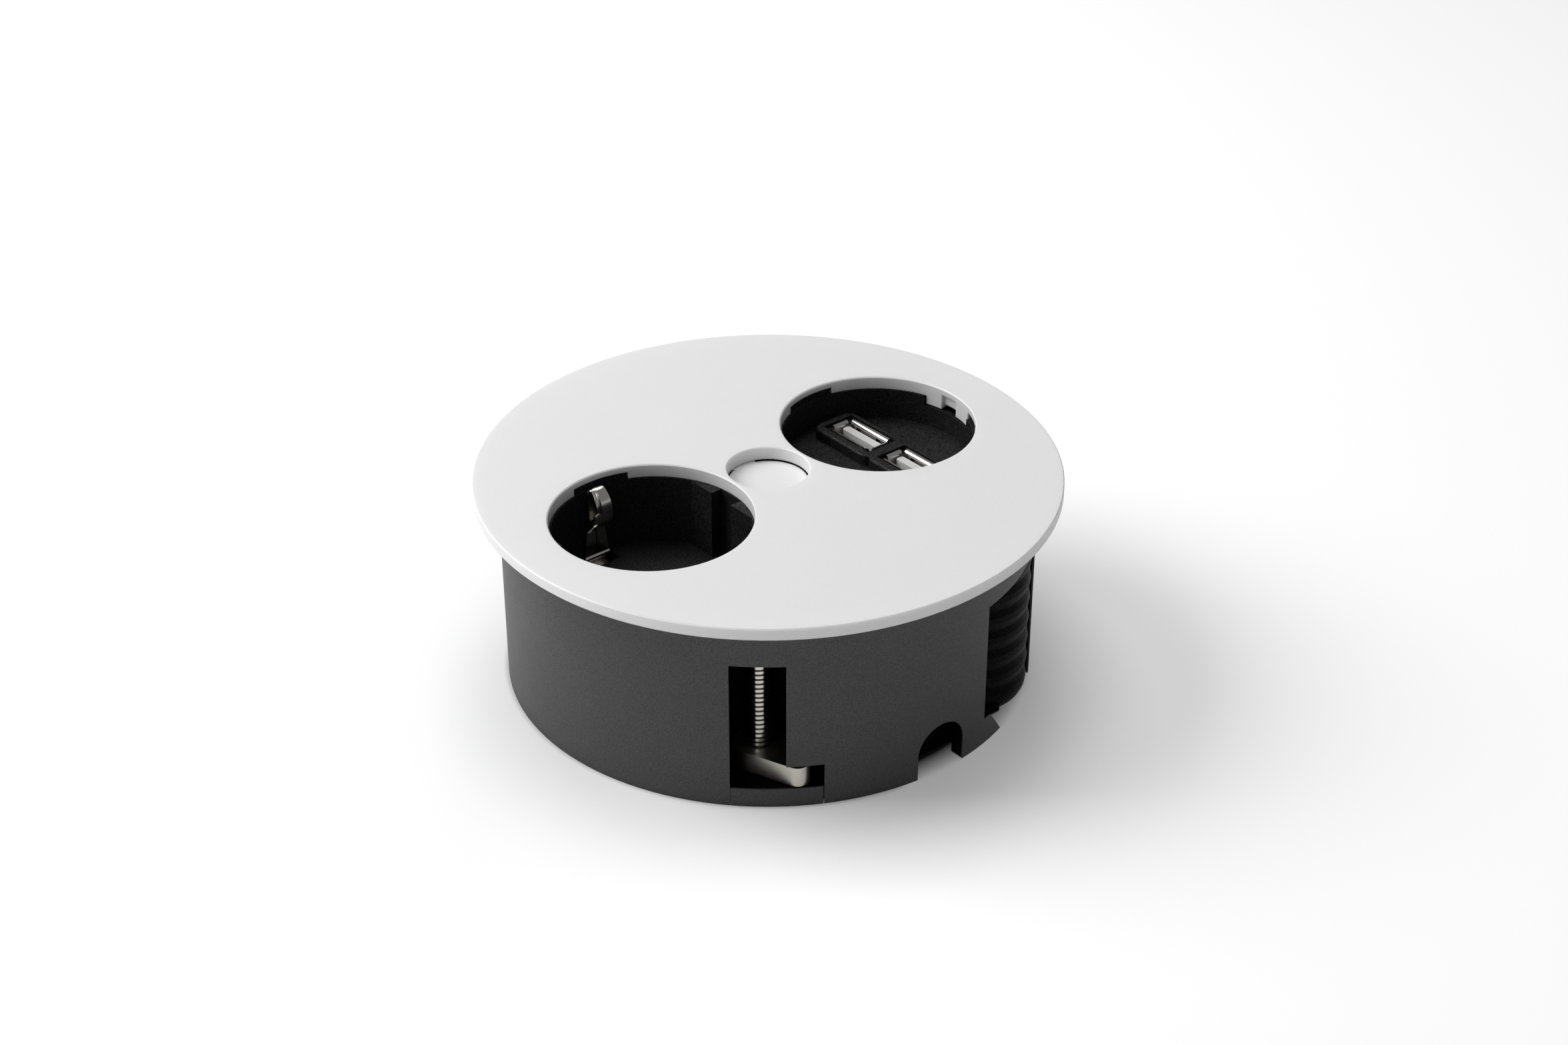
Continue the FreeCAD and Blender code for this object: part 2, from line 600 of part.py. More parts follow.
def add_ledges(body):
    """Two short ledges on the wall for the cover's barbs."""
    inner = BODY_INSIDE - S["ledge_reach"]
    low = COVER_UNDER - S["hook_drop"] + S["barb_height"] + S["insert_gap"] / 2.0
    middle = S["body_radius"] - S["body_wall"] / 2.0
    corners = [(inner, low), (middle, low), (middle, WALL_TOP), (inner, WALL_TOP)]
    span = S["hook_high"]
    for label, turn in (("usb", 0.0), ("socket", 180.0)):
        revolve(body, f"ledge_{label}", corners, 0, as_dim(turn), span)


def cut_slots(body):
    """Clamp slots: a tall window and a low foot to one side, open at the lower edge."""
    inner = S["clamp_radius"] + S["clamp_shank"]
    outer = S["body_radius"] + CUT_EXTRA
    half = S["slot_width"] / 2.0
    for label, half_turn in CLAMPS.items():
        turn = S["slot_angle"] + half_turn
        block(body, "SubtractiveBox", f"slot_{label}", inner, outer, -half, half,
              -CUT_EXTRA, SLOT_TOP, turn)
        block(body, "SubtractiveBox", f"slot_foot_{label}", inner, outer, 0, S["foot_reach"],
              -CUT_EXTRA, S["foot_height"], turn)


def cut_arch(body):
    """Cord arch through the wall at -Y."""
    half = S["arch_width"] / 2.0
    outer = -S["body_radius"] - CUT_EXTRA
    inner = -S["body_radius"] + (S["jamb_depth"] + S["channel_depth"]) / 2.0
    spring = S["arch_height"] - half
    middle = S["arch_shift"]
    block(body, "SubtractiveBox", "arch_foot", middle - half, middle + half, outer, inner,
          -CUT_EXTRA, spring)
    crown = body.newObject("PartDesign::SubtractiveCylinder", "arch_crown")
    crown.Placement = FreeCAD.Placement(FreeCAD.Vector(0, 0, 0), FreeCAD.Rotation(FreeCAD.Vector(1, 0, 0), 90))
    tie(crown, "Placement.Base.x", middle)
    tie(crown, "Placement.Base.y", inner)
    tie(crown, "Placement.Base.z", spring)
    tie(crown, "Radius", half)
    tie(crown, "Height", inner - outer)


def cut_window(body):
    """Window beside the cord sleeve, with a short sill that slants down to the lower edge."""
    sill_turn = (S["sill_width"] + S["sill_slope"]) / S["body_radius"] * (180.0 / math.pi)
    far = S["body_radius"] + CUT_EXTRA
    span = S["window_end"] - S["window_start"]
    sector(body, "SubtractiveCylinder", "window", far, S["sill_height"], WINDOW_TOP,
           0, S["window_start"], span)
    sector(body, "SubtractiveCylinder", "window_foot", far, as_dim(-CUT_EXTRA), S["sill_height"] + 0.01,
           0, S["window_start"] + sill_turn, span - sill_turn)
    middle = S["window_start"] + sill_turn / 2.0
    half = (S["sill_width"] + S["sill_slope"]) / 2.0
    sketch = sketch_on(body, "sill_end", "XZ_Plane", 0, middle + 90.0)
    outline(sketch, [(-half + S["sill_width"], S["sill_height"] + 0.01), (half, 0),
                     (half + CUT_EXTRA, 0), (half + CUT_EXTRA, S["sill_height"] + 0.01)])
    slant = body.newObject("PartDesign::Pocket", "sill_slant")
    slant.Profile = sketch
    slant.Reversed = True
    tie(slant, "Length", far)
    ring_cut(body, "sleeve_room", S["boot_radius"] + S["boot_gap"], as_dim(-CUT_EXTRA), DECK_UNDER,
             BOOT_X, BOOT_Y)


def cut_deck(body):
    """Holes in the deck for the inserts, clamp screws, switch, terminal block, cord and ear screws."""
    low, high = DECK_UNDER - CUT_EXTRA, DECK_TOP + CUT_EXTRA
    for label, side in SIDES.items():
        x = S["opening_offset"] * side
        ring_cut(body, f"insert_hole_{label}", CUP_OUTSIDE + S["insert_gap"], DECK_UNDER - 0.01, high, x)
        for end, across in (("far", 1), ("near", -1)):
            ring_cut(body, f"ear_hole_{label}_{end}", S["ear_screw_radius"], low, high,
                     x, S["ear_screw_offset"] * across)
    for label, half_turn in CLAMPS.items():
        x, y = polar(S["clamp_radius"], 0, S["slot_angle"] + half_turn)
        ring_cut(body, f"clamp_hole_{label}", S["clamp_shank"] + S["running_gap"], low, high, x, y)
    ring_cut(body, "stem_hole", S["stem_radius"] + S["insert_gap"], low, high)
    ring_cut(body, "cord_hole", S["cord_bore"], low, high, BOOT_X, BOOT_Y)
    half_x = S["terminal_length"] / 2.0 + S["insert_gap"]
    half_y = S["terminal_width"] / 2.0 + S["insert_gap"]
    block(body, "SubtractiveBox", "terminal_hole", S["terminal_x"] - half_x, S["terminal_x"] + half_x,
          S["terminal_y"] - half_y, S["terminal_y"] + half_y, low, high)


def build_base_cover():
    """Base cover: disc cut back at the cord, two tabs, two screw pilots, four counterbores."""
    body = new_body("base_cover")
    gap_turn = S["tab_gap"] / S["body_radius"] * (180.0 / math.pi)
    degree = 180.0 / math.pi
    left_turn = S["slot_width"] / 2.0 / S["body_radius"] * degree - gap_turn
    right_turn = S["foot_reach"] / S["body_radius"] * degree - gap_turn
    for label, half_turn in CLAMPS.items():
        start = S["slot_angle"] + half_turn - left_turn
        sector(body, "AdditiveCylinder", f"tab_{label}", S["body_radius"], as_dim(0), S["tab_height"],
               0, start, left_turn + right_turn)
    ring_cut(body, "tab_backs", S["body_radius"] - S["tab_thickness"], S["base_thickness"],
             S["tab_height"] + CUT_EXTRA)
    ring_add(body, "base_disc", BASE_RADIUS, as_dim(0), S["base_thickness"])
    edge = -(S["body_radius"] - S["channel_depth"]) + S["channel_wall"] + S["base_gap"]
    block(body, "SubtractiveBox", "cord_side", -S["channel_half"] - S["base_gap"], S["body_radius"],
          -S["body_radius"], edge, -CUT_EXTRA, S["base_thickness"] + CUT_EXTRA)
    ring_cut(body, "sleeve_side", S["boot_radius"] + S["boot_gap"], as_dim(-CUT_EXTRA),
             S["base_thickness"] + CUT_EXTRA, BOOT_X, BOOT_Y)
    for label, half_turn in CLAMPS.items():
        x, y = polar(S["clamp_radius"], 0, S["slot_angle"] + half_turn)
        ring_add(body, f"pilot_boss_{label}", S["clamp_pilot"] * 2.0, as_dim(0), PILOT_TOP - S["claw_gap"], x, y)
        ring_cut(body, f"pilot_bore_{label}", S["clamp_pilot"] + S["running_gap"],
                 S["base_thickness"] / 2.0, PILOT_TOP + CUT_EXTRA, x, y)
    for index, angle in enumerate(POST_ANGLES):
        x, y = polar(S["post_circle"], 0, angle)
        ring_cut(body, f"base_hole_{index}", S["base_screw_radius"], as_dim(-CUT_EXTRA),
                 S["base_thickness"] + CUT_EXTRA, x, y)
        ring_cut(body, f"base_sink_{index}", S["base_screw_head"] + S["insert_gap"], as_dim(-CUT_EXTRA),
                 S["base_screw_sink"], x, y)
    return body


def screw_group(name, points, head_radius, head_low, head_high, shank_radius, shank_low, shank_high):
    """Equal screws as one group of separate solids."""
    shapes = []
    for index, (x, y) in enumerate(points):
        for piece, radius, low, high in (("head", head_radius, head_low, head_high),
                                         ("shank", shank_radius, shank_low, shank_high)):
            item = doc.addObject("Part::Cylinder", f"{name}_{piece}_{index}")
            tie(item, "Radius", radius)
            tie(item, "Height", high - low)
            place(item, x, y, low)
            shapes.append(item)
    group = doc.addObject("Part::MultiFuse", name)
    group.Label = name
    group.Shapes = shapes
    group.Refine = True
    return group


def build_base_screws():
    points = [polar(S["post_circle"], 0, angle) for angle in POST_ANGLES]
    head = as_dim(S["base_screw_sink"])
    return screw_group("base_screws", points, S["base_screw_head"], as_dim(0), head,
                       S["base_screw_radius"], head, head + S["base_screw_length"])


def build_insert_screws():
    points = [(S["opening_offset"] * side, S["ear_screw_offset"] * across)
              for side in SIDES.values() for across in (1, -1)]
    seat = DECK_TOP + S["ear_thickness"]
    return screw_group("insert_screws", points, S["ear_screw_head"], seat,
                       seat + S["ear_screw_head_height"], S["ear_screw_radius"], DECK_UNDER, seat)


def build_clamp_screw(label, half_turn):
    """Clamp screw: cross-slotted head, round shank, plain pilot end."""
    body = new_body(f"clamp_screw_{label}")
    tip = S["base_thickness"] / 2.0 + S["running_gap"]
    head_top = HEAD_UNDER + S["clamp_head_height"]
    bevel = S["clamp_pilot"] / 4.0
    revolve(body, f"screw_turning_{label}", [
        (0, tip), (S["clamp_pilot"] - bevel, tip), (S["clamp_pilot"], tip + bevel),
        (S["clamp_pilot"], PILOT_TOP), (S["clamp_shank"], PILOT_TOP), (S["clamp_shank"], HEAD_UNDER),
        (S["clamp_head"], HEAD_UNDER), (S["clamp_head"], head_top - bevel),
        (S["clamp_head"] - bevel, head_top), (0, head_top)])
    half_length, half_width = S["recess_length"] / 2.0, S["recess_width"] / 2.0
    low, high = head_top - S["recess_sink"], head_top + CUT_EXTRA
    block(body, "SubtractiveBox", f"cross_long_{label}", -half_length, half_length, -half_width, half_width,
          low, high)
    block(body, "SubtractiveBox", f"cross_wide_{label}", -half_width, half_width, -half_length, half_length,
          low, high)
    turn = S["slot_angle"] + half_turn
    x, y = polar(S["clamp_radius"], 0, turn)
    place(body, x, y, 0, turn)
    return body


def build_claw(label, half_turn):
    """Clamp claw: two round ends joined by straight flanks, bored for the screw."""
    body = new_body(f"clamp_claw_{label}")
    hub, tip, length = S["claw_hub"], S["claw_tip"], S["claw_length"]
    lean = (hub - tip) / length
    rise = square_root(1.0 - lean * lean)
    rounded_pad(body, f"claw_flanks_{label}", [
        (hub * lean, -(hub * rise)), (length + tip * lean, -(tip * rise)),
        (length + tip * lean, tip * rise), (hub * lean, hub * rise)], CLAW_UNDER, S["claw_thickness"])
    ring_add(body, f"claw_hub_{label}", hub, CLAW_UNDER, CLAW_TOP)
    ring_add(body, f"claw_tip_{label}", tip, CLAW_UNDER, CLAW_TOP, length)
    ring_cut(body, f"claw_bore_{label}", S["clamp_shank"] + S["running_gap"],
             CLAW_UNDER - CUT_EXTRA, CLAW_TOP + CUT_EXTRA)
    turn = S["slot_angle"] + half_turn
    x, y = polar(S["clamp_radius"], 0, turn)
    place(body, x, y, 0, turn + S["claw_parked"])
    return body


def build_washers():
    """The two washers under the clamp screws' heads."""
    rings = []
    for label, half_turn in CLAMPS.items():
        x, y = polar(S["clamp_radius"], 0, S["slot_angle"] + half_turn)
        outer = doc.addObject("Part::Cylinder", f"washer_outside_{label}")
        inner = doc.addObject("Part::Cylinder", f"washer_inside_{label}")
        for item, radius in ((outer, S["washer_radius"]), (inner, S["clamp_shank"] + S["running_gap"])):
            tie(item, "Radius", radius)
            tie(item, "Height", S["washer_thickness"])
            place(item, x, y, DECK_TOP)
        ring = doc.addObject("Part::Cut", f"washer_{label}")
        ring.Base = outer
        ring.Tool = inner
        rings.append(ring)
    group = doc.addObject("Part::Compound", "clamp_washers")
    group.Label = "clamp_washers"
    group.Links = rings
    return group


def build_cord_sleeve():
    """Ribbed cord sleeve: a core with one bulged ring repeated up its height, and a plain neck."""
    body = new_body("cord_sleeve")
    valley = S["boot_radius"] - S["ring_bulge"]
    ring_add(body, "sleeve_core", valley, as_dim(0), RINGS_TOP)
    ring_add(body, "sleeve_neck", S["boot_neck"], as_dim(0), DECK_UNDER)
    crown = [(S["boot_radius"] - S["ring_bulge"] * (2.0 * share - 1.0) ** 2, RING_PITCH * share)
             for share in CROWN_SHARES]
    ring = revolve(body, "ring", crown)
    rings = body.newObject("PartDesign::LinearPattern", "rings")
    rings.Originals = [ring]
    rings.Direction = (origin_axis(body, "Z_Axis"), [""])
    tie(rings, "Occurrences", S["ring_count"])
    tie(rings, "Length", RING_PITCH * (S["ring_count"] - 1.0))
    body.Tip = rings
    ring_cut(body, "sleeve_bore", S["cord_bore"], as_dim(-CUT_EXTRA), DECK_UNDER + CUT_EXTRA)
    place(body, BOOT_X, BOOT_Y)
    return body


def origin_axis(body, role):
    return next(item for item in body.Origin.OriginFeatures if item.Role == role)


def add_keys(body, label, side):
    """Keys on an insert's rim that stand in the lip's notches."""
    top = COVER_UNDER + S["notch_rise"] - S["insert_gap"]
    trim = S["insert_gap"] / S["cup_radius"] * (180.0 / math.pi)
    slices = slices_of(side)
    for name in ("far_notch", "near_notch", "side_notch"):
        start, span = slices[name]
        sector(body, "AdditiveCylinder", f"{name}_key_{label}", CUP_OUTSIDE, COVER_UNDER, top,
               0, start + trim, span - trim * 2.0)
    ring_cut(body, f"key_faces_{label}", S["cup_radius"] + S["key_inset"], COVER_UNDER, top + CUT_EXTRA)


def add_ears(body, label):
    """Two screwed ears that rest on the deck."""
    half = S["ear_width"] / 2.0
    high = DECK_TOP + S["ear_thickness"]
    block(body, "AdditiveBox", f"ears_{label}", -half, half, -S["ear_reach"], S["ear_reach"],
          DECK_TOP, high)
    for end, across in (("far", 1), ("near", -1)):
        ring_cut(body, f"ear_bore_{label}_{end}", S["ear_screw_radius"], DECK_TOP - CUT_EXTRA,
                 high + CUT_EXTRA, 0, S["ear_screw_offset"] * across)


def cut_hook_room(body, label, side):
    """Gap in an insert's wall where the cover's hook stands."""
    start, span = slices_of(side)["hook"]
    trim = S["insert_gap"] / S["cup_radius"] * (180.0 / math.pi) * 2.0
    sector(body, "SubtractiveCylinder", f"hook_room_{label}", CUP_OUTSIDE + CUT_EXTRA,
           COVER_UNDER - S["hook_drop"] - S["insert_gap"] * 2.0, COVER_UNDER + S["notch_rise"] + CUT_EXTRA,
           0, start - trim, span + trim * 2.0)


def segment_pad(body, name, radius, chord, low, height, turn):
    """A round segment beyond a straight chord."""
    sketch = sketch_on(body, name + "_outline", "XY_Plane")
    sketch.AttachmentOffset = FreeCAD.Placement(FreeCAD.Vector(0, 0, low.number), FreeCAD.Rotation(UP, turn))
    tie(sketch, "AttachmentOffset.Base.z", low)
    half_turn = math.acos(chord.number / radius.number)
    half = radius.number * math.sin(half_turn)
    circle = Part.Circle(FreeCAD.Vector(0, 0, 0), UP, radius.number)
    sketch.addGeometry(Part.ArcOfCircle(circle, -half_turn, half_turn), False)
    top, bottom = FreeCAD.Vector(chord.number, half, 0), FreeCAD.Vector(chord.number, -half, 0)
    sketch.addGeometry(Part.LineSegment(top, bottom), False)
    sketch.addConstraint(Sketcher.Constraint("Coincident", 0, 3, -1, 1))
    sketch.addConstraint(Sketcher.Constraint("Coincident", 0, 2, 1, 1))
    sketch.addConstraint(Sketcher.Constraint("Coincident", 0, 1, 1, 2))
    sketch.addConstraint(Sketcher.Constraint("Vertical", 1))
    radius_index = sketch.addConstraint(Sketcher.Constraint("Radius", 0, radius.number))
    tie(sketch, f"Constraints[{radius_index}]", radius)
    chord_index = sketch.addConstraint(Sketcher.Constraint("DistanceX", -1, 1, 1, 1, chord.number))
    tie(sketch, f"Constraints[{chord_index}]", chord)
    pad = body.newObject("PartDesign::Pad", name)
    pad.Profile = sketch
    tie(pad, "Length", height)


def build_socket_insert():
    """Socket insert: round cup with grooved flats, pin holes, strap slots, keys and ears."""
    body = new_body("socket_insert")
    side = SIDES["socket"]
    depth = COVER_UNDER - SOCKET_FLOOR_TOP
    ring_add(body, "socket_cup", CUP_OUTSIDE, SOCKET_FLOOR_UNDER, COVER_UNDER)
    add_keys(body, "socket", side)
    add_ears(body, "socket")
    ring_cut(body, "socket_inside", S["cup_radius"], SOCKET_FLOOR_TOP, COVER_UNDER + S["notch_rise"])
    inner = S["cup_radius"] + S["cup_wall"] / 2.0
    for label, turn in (("right", 0), ("left", 180)):
        segment_pad(body, f"flat_{label}", inner, S["flat_offset"], SOCKET_FLOOR_TOP, depth, turn)
    half = S["groove_width"] / 2.0
    block(body, "SubtractiveBox", "grooves", -S["cup_radius"], S["cup_radius"], -half, half,
          SOCKET_FLOOR_TOP, COVER_UNDER + S["notch_rise"])
    cut_hook_room(body, "socket", side)
    for label, across in (("left", -1), ("right", 1)):
        ring_cut(body, f"pin_hole_{label}", S["pin_hole"], SOCKET_FLOOR_UNDER - CUT_EXTRA,
                 SOCKET_FLOOR_TOP + CUT_EXTRA, S["pin_offset"] * across)
    slot_half = S["strap_foot"] / 2.0 + S["insert_gap"]
    for label, across in (("far", 1), ("near", -1)):
        low, high = strap_slot(across)
        block(body, "SubtractiveBox", f"strap_slot_{label}", -slot_half, slot_half, low, high,
              SOCKET_FLOOR_UNDER - CUT_EXTRA, SOCKET_FLOOR_TOP + CUT_EXTRA)
    place(body, S["opening_offset"] * side)
    return body


def strap_slot(across):
    """Inner and outer side of the floor window that a spring arm passes through."""
    inner = S["arm_root"] - S["strap_thickness"] / 2.0 - S["strap_window"]
    outer = S["arm_root"] + S["strap_thickness"] / 2.0 + S["insert_gap"]
    return (inner, outer) if across > 0 else (-outer, -inner)


def build_carrier():
    """Block under the socket's floor that holds the contact sleeves."""
    body = new_body("contact_carrier")
    ring_add(body, "carrier_block", S["carrier_radius"], CARRIER_UNDER, STRAP_UNDER)
    bore = S["sleeve_inside"] + S["sleeve_wall"]
    for label, across in (("left", -1), ("right", 1)):
        ring_cut(body, f"sleeve_seat_{label}", bore, SLEEVE_UNDER, STRAP_UNDER + CUT_EXTRA,
                 S["pin_offset"] * across)
    place(body, S["opening_offset"] * SIDES["socket"])
    return body


def build_contact_sleeve(label, across):
    """Brass sleeve for one plug pin, slit crosswise at its mouth."""
    body = new_body(f"contact_sleeve_{label}")
    outer = S["sleeve_inside"] + S["sleeve_wall"]
    ring_add(body, f"sleeve_tube_{label}", outer, SLEEVE_UNDER, STRAP_UNDER)
    ring_cut(body, f"sleeve_hole_{label}", S["sleeve_inside"], SLEEVE_UNDER + S["sleeve_wall"],
             STRAP_UNDER + CUT_EXTRA)
    half = S["sleeve_slit"] / 2.0
    block(body, "SubtractiveBox", f"slit_long_{label}", -outer, outer, -half, half,
          SLIT_UNDER, STRAP_UNDER + CUT_EXTRA)
    block(body, "SubtractiveBox", f"slit_wide_{label}", -half, half, -outer, outer,
          SLIT_UNDER, STRAP_UNDER + CUT_EXTRA)
    place(body, S["opening_offset"] * SIDES["socket"] + S["pin_offset"] * across)
    return body


def arm_path(across):
    """Middle line of one spring arm: under the floor, up the neck, round the spring loop."""
    root = S["arm_root"].number
    sheet_middle = STRAP_UNDER.number + S["strap_thickness"].number / 2.0
    neck = (SOCKET_FLOOR_TOP + S["neck_height"]).number

    def spot(reach, rise):
        """A point inwards from the neck and over its upper end."""
        return FreeCAD.Vector(0, (root - reach) * across, neck + rise)

    def named(reach, rise):
        return spot(S[reach].number, S[rise].number)

    sheet = S["strap_thickness"].number
    corner = FreeCAD.Vector(0, root * across, sheet_middle)
    ramp = named("ramp_reach", "ramp_rise")
    nose = named("nose_reach", "nose_rise")
    brow = named("brow_reach", "brow_rise")
    crest = named("crest_reach", "crest_rise")
    shoulder = spot(sheet, S["crest_rise"].number + sheet / 2.0)
    turned = spot(sheet / 4.0, S["crest_rise"].number - sheet / 2.0)
    free_end = spot(sheet / 4.0, S["return_gap"].number)
    return [
        Part.LineSegment(FreeCAD.Vector(0, 0, sheet_middle), corner).toShape(),
        Part.LineSegment(corner, spot(0, 0)).toShape(), Part.LineSegment(spot(0, 0), ramp).toShape(),
        Part.Arc(ramp, nose, brow).toShape(), Part.LineSegment(brow, crest).toShape(),
        Part.Arc(crest, shoulder, turned).toShape(), Part.LineSegment(turned, free_end).toShape()]


def strap_outline(low, high):
    """The strap's width at each height, seen along Y, as a closed outline."""
    names = ("strap_width", "strap_foot", "strap_tip", "crest_width")
    narrow, foot, tip, crest = (S[name].number / 2.0 for name in names)
    floor = SOCKET_FLOOR_TOP.number
    step = floor - S["fold_radius"].number * 2.0
    neck = (SOCKET_FLOOR_TOP + S["neck_height"]).number
    nose = neck + S["nose_rise"].number
    right = [(narrow, low), (narrow, step), (foot, step), (foot, floor), (tip, neck), (tip, nose),
             (crest, high)]
    left = [(-x, z) for x, z in reversed(right)]
    return right + left + right[:1]


def build_earth_strap():
    """Earth strap: one folded sheet strip under the floor with a slit spring loop at each end."""
    thickness = S["strap_thickness"].number
    width = S["strap_foot"].number
    low = STRAP_UNDER.number - thickness
    neck = (SOCKET_FLOOR_TOP + S["neck_height"]).number
    high = neck + S["crest_rise"].number + thickness * 2.0
    fold = S["fold_radius"].number
    fold_level = SOCKET_FLOOR_TOP.number - fold
    shapes = []
    for across in (1, -1):
        wire = Part.Wire(arm_path(across))
        for offset in (thickness / 2.0, -thickness / 2.0):
            side = wire.makeOffset2D(offset, 0, True, True)
            shapes.append(side.extrude(FreeCAD.Vector(width, 0, 0)))
        foot = FreeCAD.Vector(0, S["arm_root"].number * across, fold_level)
        shapes.append(Part.makeCylinder(thickness / 2.0 + fold, width, foot, FreeCAD.Vector(1, 0, 0)))
    whole = shapes[0].multiFuse(shapes[1:]).removeSplitter()
    whole.translate(FreeCAD.Vector(-width / 2.0, 0, 0))
    reach = S["arm_root"].number + thickness / 2.0
    corners = [FreeCAD.Vector(x, -reach, z) for x, z in strap_outline(low, high)]
    taper = Part.Face(Part.makePolygon(corners)).extrude(FreeCAD.Vector(0, reach * 2.0, 0))
    slit = S["strap_slit"].number
    slit_low = SOCKET_FLOOR_TOP.number + thickness * 2.0
    cutter = Part.makeBox(slit, reach * 2.0, high - slit_low, FreeCAD.Vector(-slit / 2.0, -reach, slit_low))
    item = doc.addObject("Part::Feature", "earth_strap")
    item.Label = "earth_strap"
    item.Shape = whole.common(taper).cut(cutter)
    place(item, S["opening_offset"] * SIDES["socket"])
    return item


def port_y(across):
    return S["port_pitch"] / 2.0 * across


def build_usb_insert():
    """Port insert: shallow cup, two raised frames round the ports, legs on the board, keys and ears."""
    body = new_body("usb_insert")
    side = SIDES["usb"]
    ring_add(body, "usb_cup", CUP_OUTSIDE, USB_FLOOR_UNDER, COVER_UNDER)
    add_keys(body, "usb", side)
    add_ears(body, "usb")
    ring_cut(body, "usb_inside", S["cup_radius"], USB_FLOOR_TOP, COVER_UNDER + S["notch_rise"])
    cut_hook_room(body, "usb", side)
    leg_x = BOARD_WIDTH / 2.0 - S["leg_radius"]
    leg_y = BOARD_LENGTH / 2.0 - S["leg_radius"]
    for index, (along, across) in enumerate(((1, 1), (1, -1), (-1, 1), (-1, -1))):
        ring_add(body, f"leg_{index}", S["leg_radius"], BOARD_TOP, USB_FLOOR_UNDER,
                 leg_x * along, leg_y * across)
    for label, across in PORTS.items():
        add_frame(body, label, port_y(across))
    ease(body, "frame_edges", "Fillet", frame_edge, S["frame_ease"])
    gap, well = S["insert_gap"] * 2.0, S["lip_gap"] * 2.0
    for label, across in PORTS.items():
        for piece, length, width, low in (
                ("shell_hole", S["shell_length"] + gap, S["shell_width"] + gap, USB_FLOOR_UNDER - CUT_EXTRA),
                ("lip_well", S["lip_length"] + well, S["lip_width"] + well, LIP_TOP - S["lip_height"])):
            x, y = width / 2.0, length / 2.0
            block(body, "SubtractiveBox", f"{piece}_{label}", S["port_shift"] - x, S["port_shift"] + x,
                  port_y(across) - y, port_y(across) + y, low, FRAME_TOP + CUT_EXTRA)
    place(body, S["opening_offset"] * side)
    return body


def add_frame(body, label, y):
    """Raised frame with round corners: two crossed blocks and four corner posts."""
    x = S["port_shift"] - S["frame_shift"]
    half_x, half_y, corner = S["frame_width"] / 2.0, FRAME_LENGTH / 2.0, S["frame_round"]
    for piece, reach_x, reach_y in (("long", half_x - corner, half_y), ("wide", half_x, half_y - corner)):
        block(body, "AdditiveBox", f"frame_{piece}_{label}", x - reach_x, x + reach_x,
              y - reach_y, y + reach_y, USB_FLOOR_TOP, FRAME_TOP)
    for index, (along, end) in enumerate(((1, 1), (1, -1), (-1, 1), (-1, -1))):
        ring_add(body, f"frame_corner_{label}_{index}", corner, USB_FLOOR_TOP, FRAME_TOP,
                 x + (half_x - corner) * along, y + (half_y - corner) * end)


def frame_edge(edge):
    """True for an edge of the frames' upper face."""
    box = edge.BoundBox
    return box.ZMin > FRAME_TOP.number - 0.01 and box.ZMax < FRAME_TOP.number + 0.01


def build_usb_shell(label, across):
    """Port shell: sheet sleeve with two spring holes in each long wall and four rolled lips."""
    body = new_body(f"usb_shell_{label}")
    half_x, half_y = S["shell_width"] / 2.0, S["shell_length"] / 2.0
    wall, lip = S["shell_wall"], S["lip_height"]
    out_x, out_y = S["lip_width"] / 2.0, S["lip_length"] / 2.0
    lip_low = LIP_TOP - lip
    block(body, "AdditiveBox", f"shell_outside_{label}", -half_x, half_x, -half_y, half_y, BOARD_TOP, lip_low)
    block(body, "AdditiveBox", f"lips_long_{label}", -out_x, out_x, -half_y + wall, half_y - wall,
          lip_low, LIP_TOP)
    block(body, "AdditiveBox", f"lips_short_{label}", -half_x + wall * 3.0, half_x - wall * 3.0,
          -out_y, out_y, lip_low, LIP_TOP)
    block(body, "SubtractiveBox", f"shell_inside_{label}", -half_x + wall, half_x - wall,
          -half_y + wall, half_y - wall, BOARD_TOP - CUT_EXTRA, LIP_TOP + CUT_EXTRA)
    inner, outer = (half_x - wall, half_y - wall), (out_x, out_y)
    ease(body, f"lip_flares_{label}", "Chamfer", lambda edge: lip_edge(edge, inner), S["lip_flare"])
    ease(body, f"lip_rounds_{label}", "Fillet", lambda edge: lip_edge(edge, outer), S["lip_round"])
    hole = S["spring_hole"]
    for index, end in enumerate((1, -1)):
        middle = S["spring_offset"] * end
        block(body, "SubtractiveBox", f"spring_hole_{label}_{index}", -half_x, half_x,
              middle - hole / 2.0, middle + hole / 2.0, lip_low - hole, lip_low)
    place(body, S["opening_offset"] + S["port_shift"], port_y(across))
    return body


def lip_edge(edge, corner):
    """True for an upper edge of a lip that runs at the corner's distance from the port's middle."""
    box = edge.BoundBox
    if box.ZMin < LIP_TOP.number - 0.01:
        return False
    x, y = corner
    along_y = box.XLength < 0.01 and abs(abs(box.XMin) - x.number) < 0.01
    along_x = box.YLength < 0.01 and abs(abs(box.YMin) - y.number) < 0.01
    return (along_y and box.YMin < 0 < box.YMax) or (along_x and box.XMin < 0 < box.XMax)


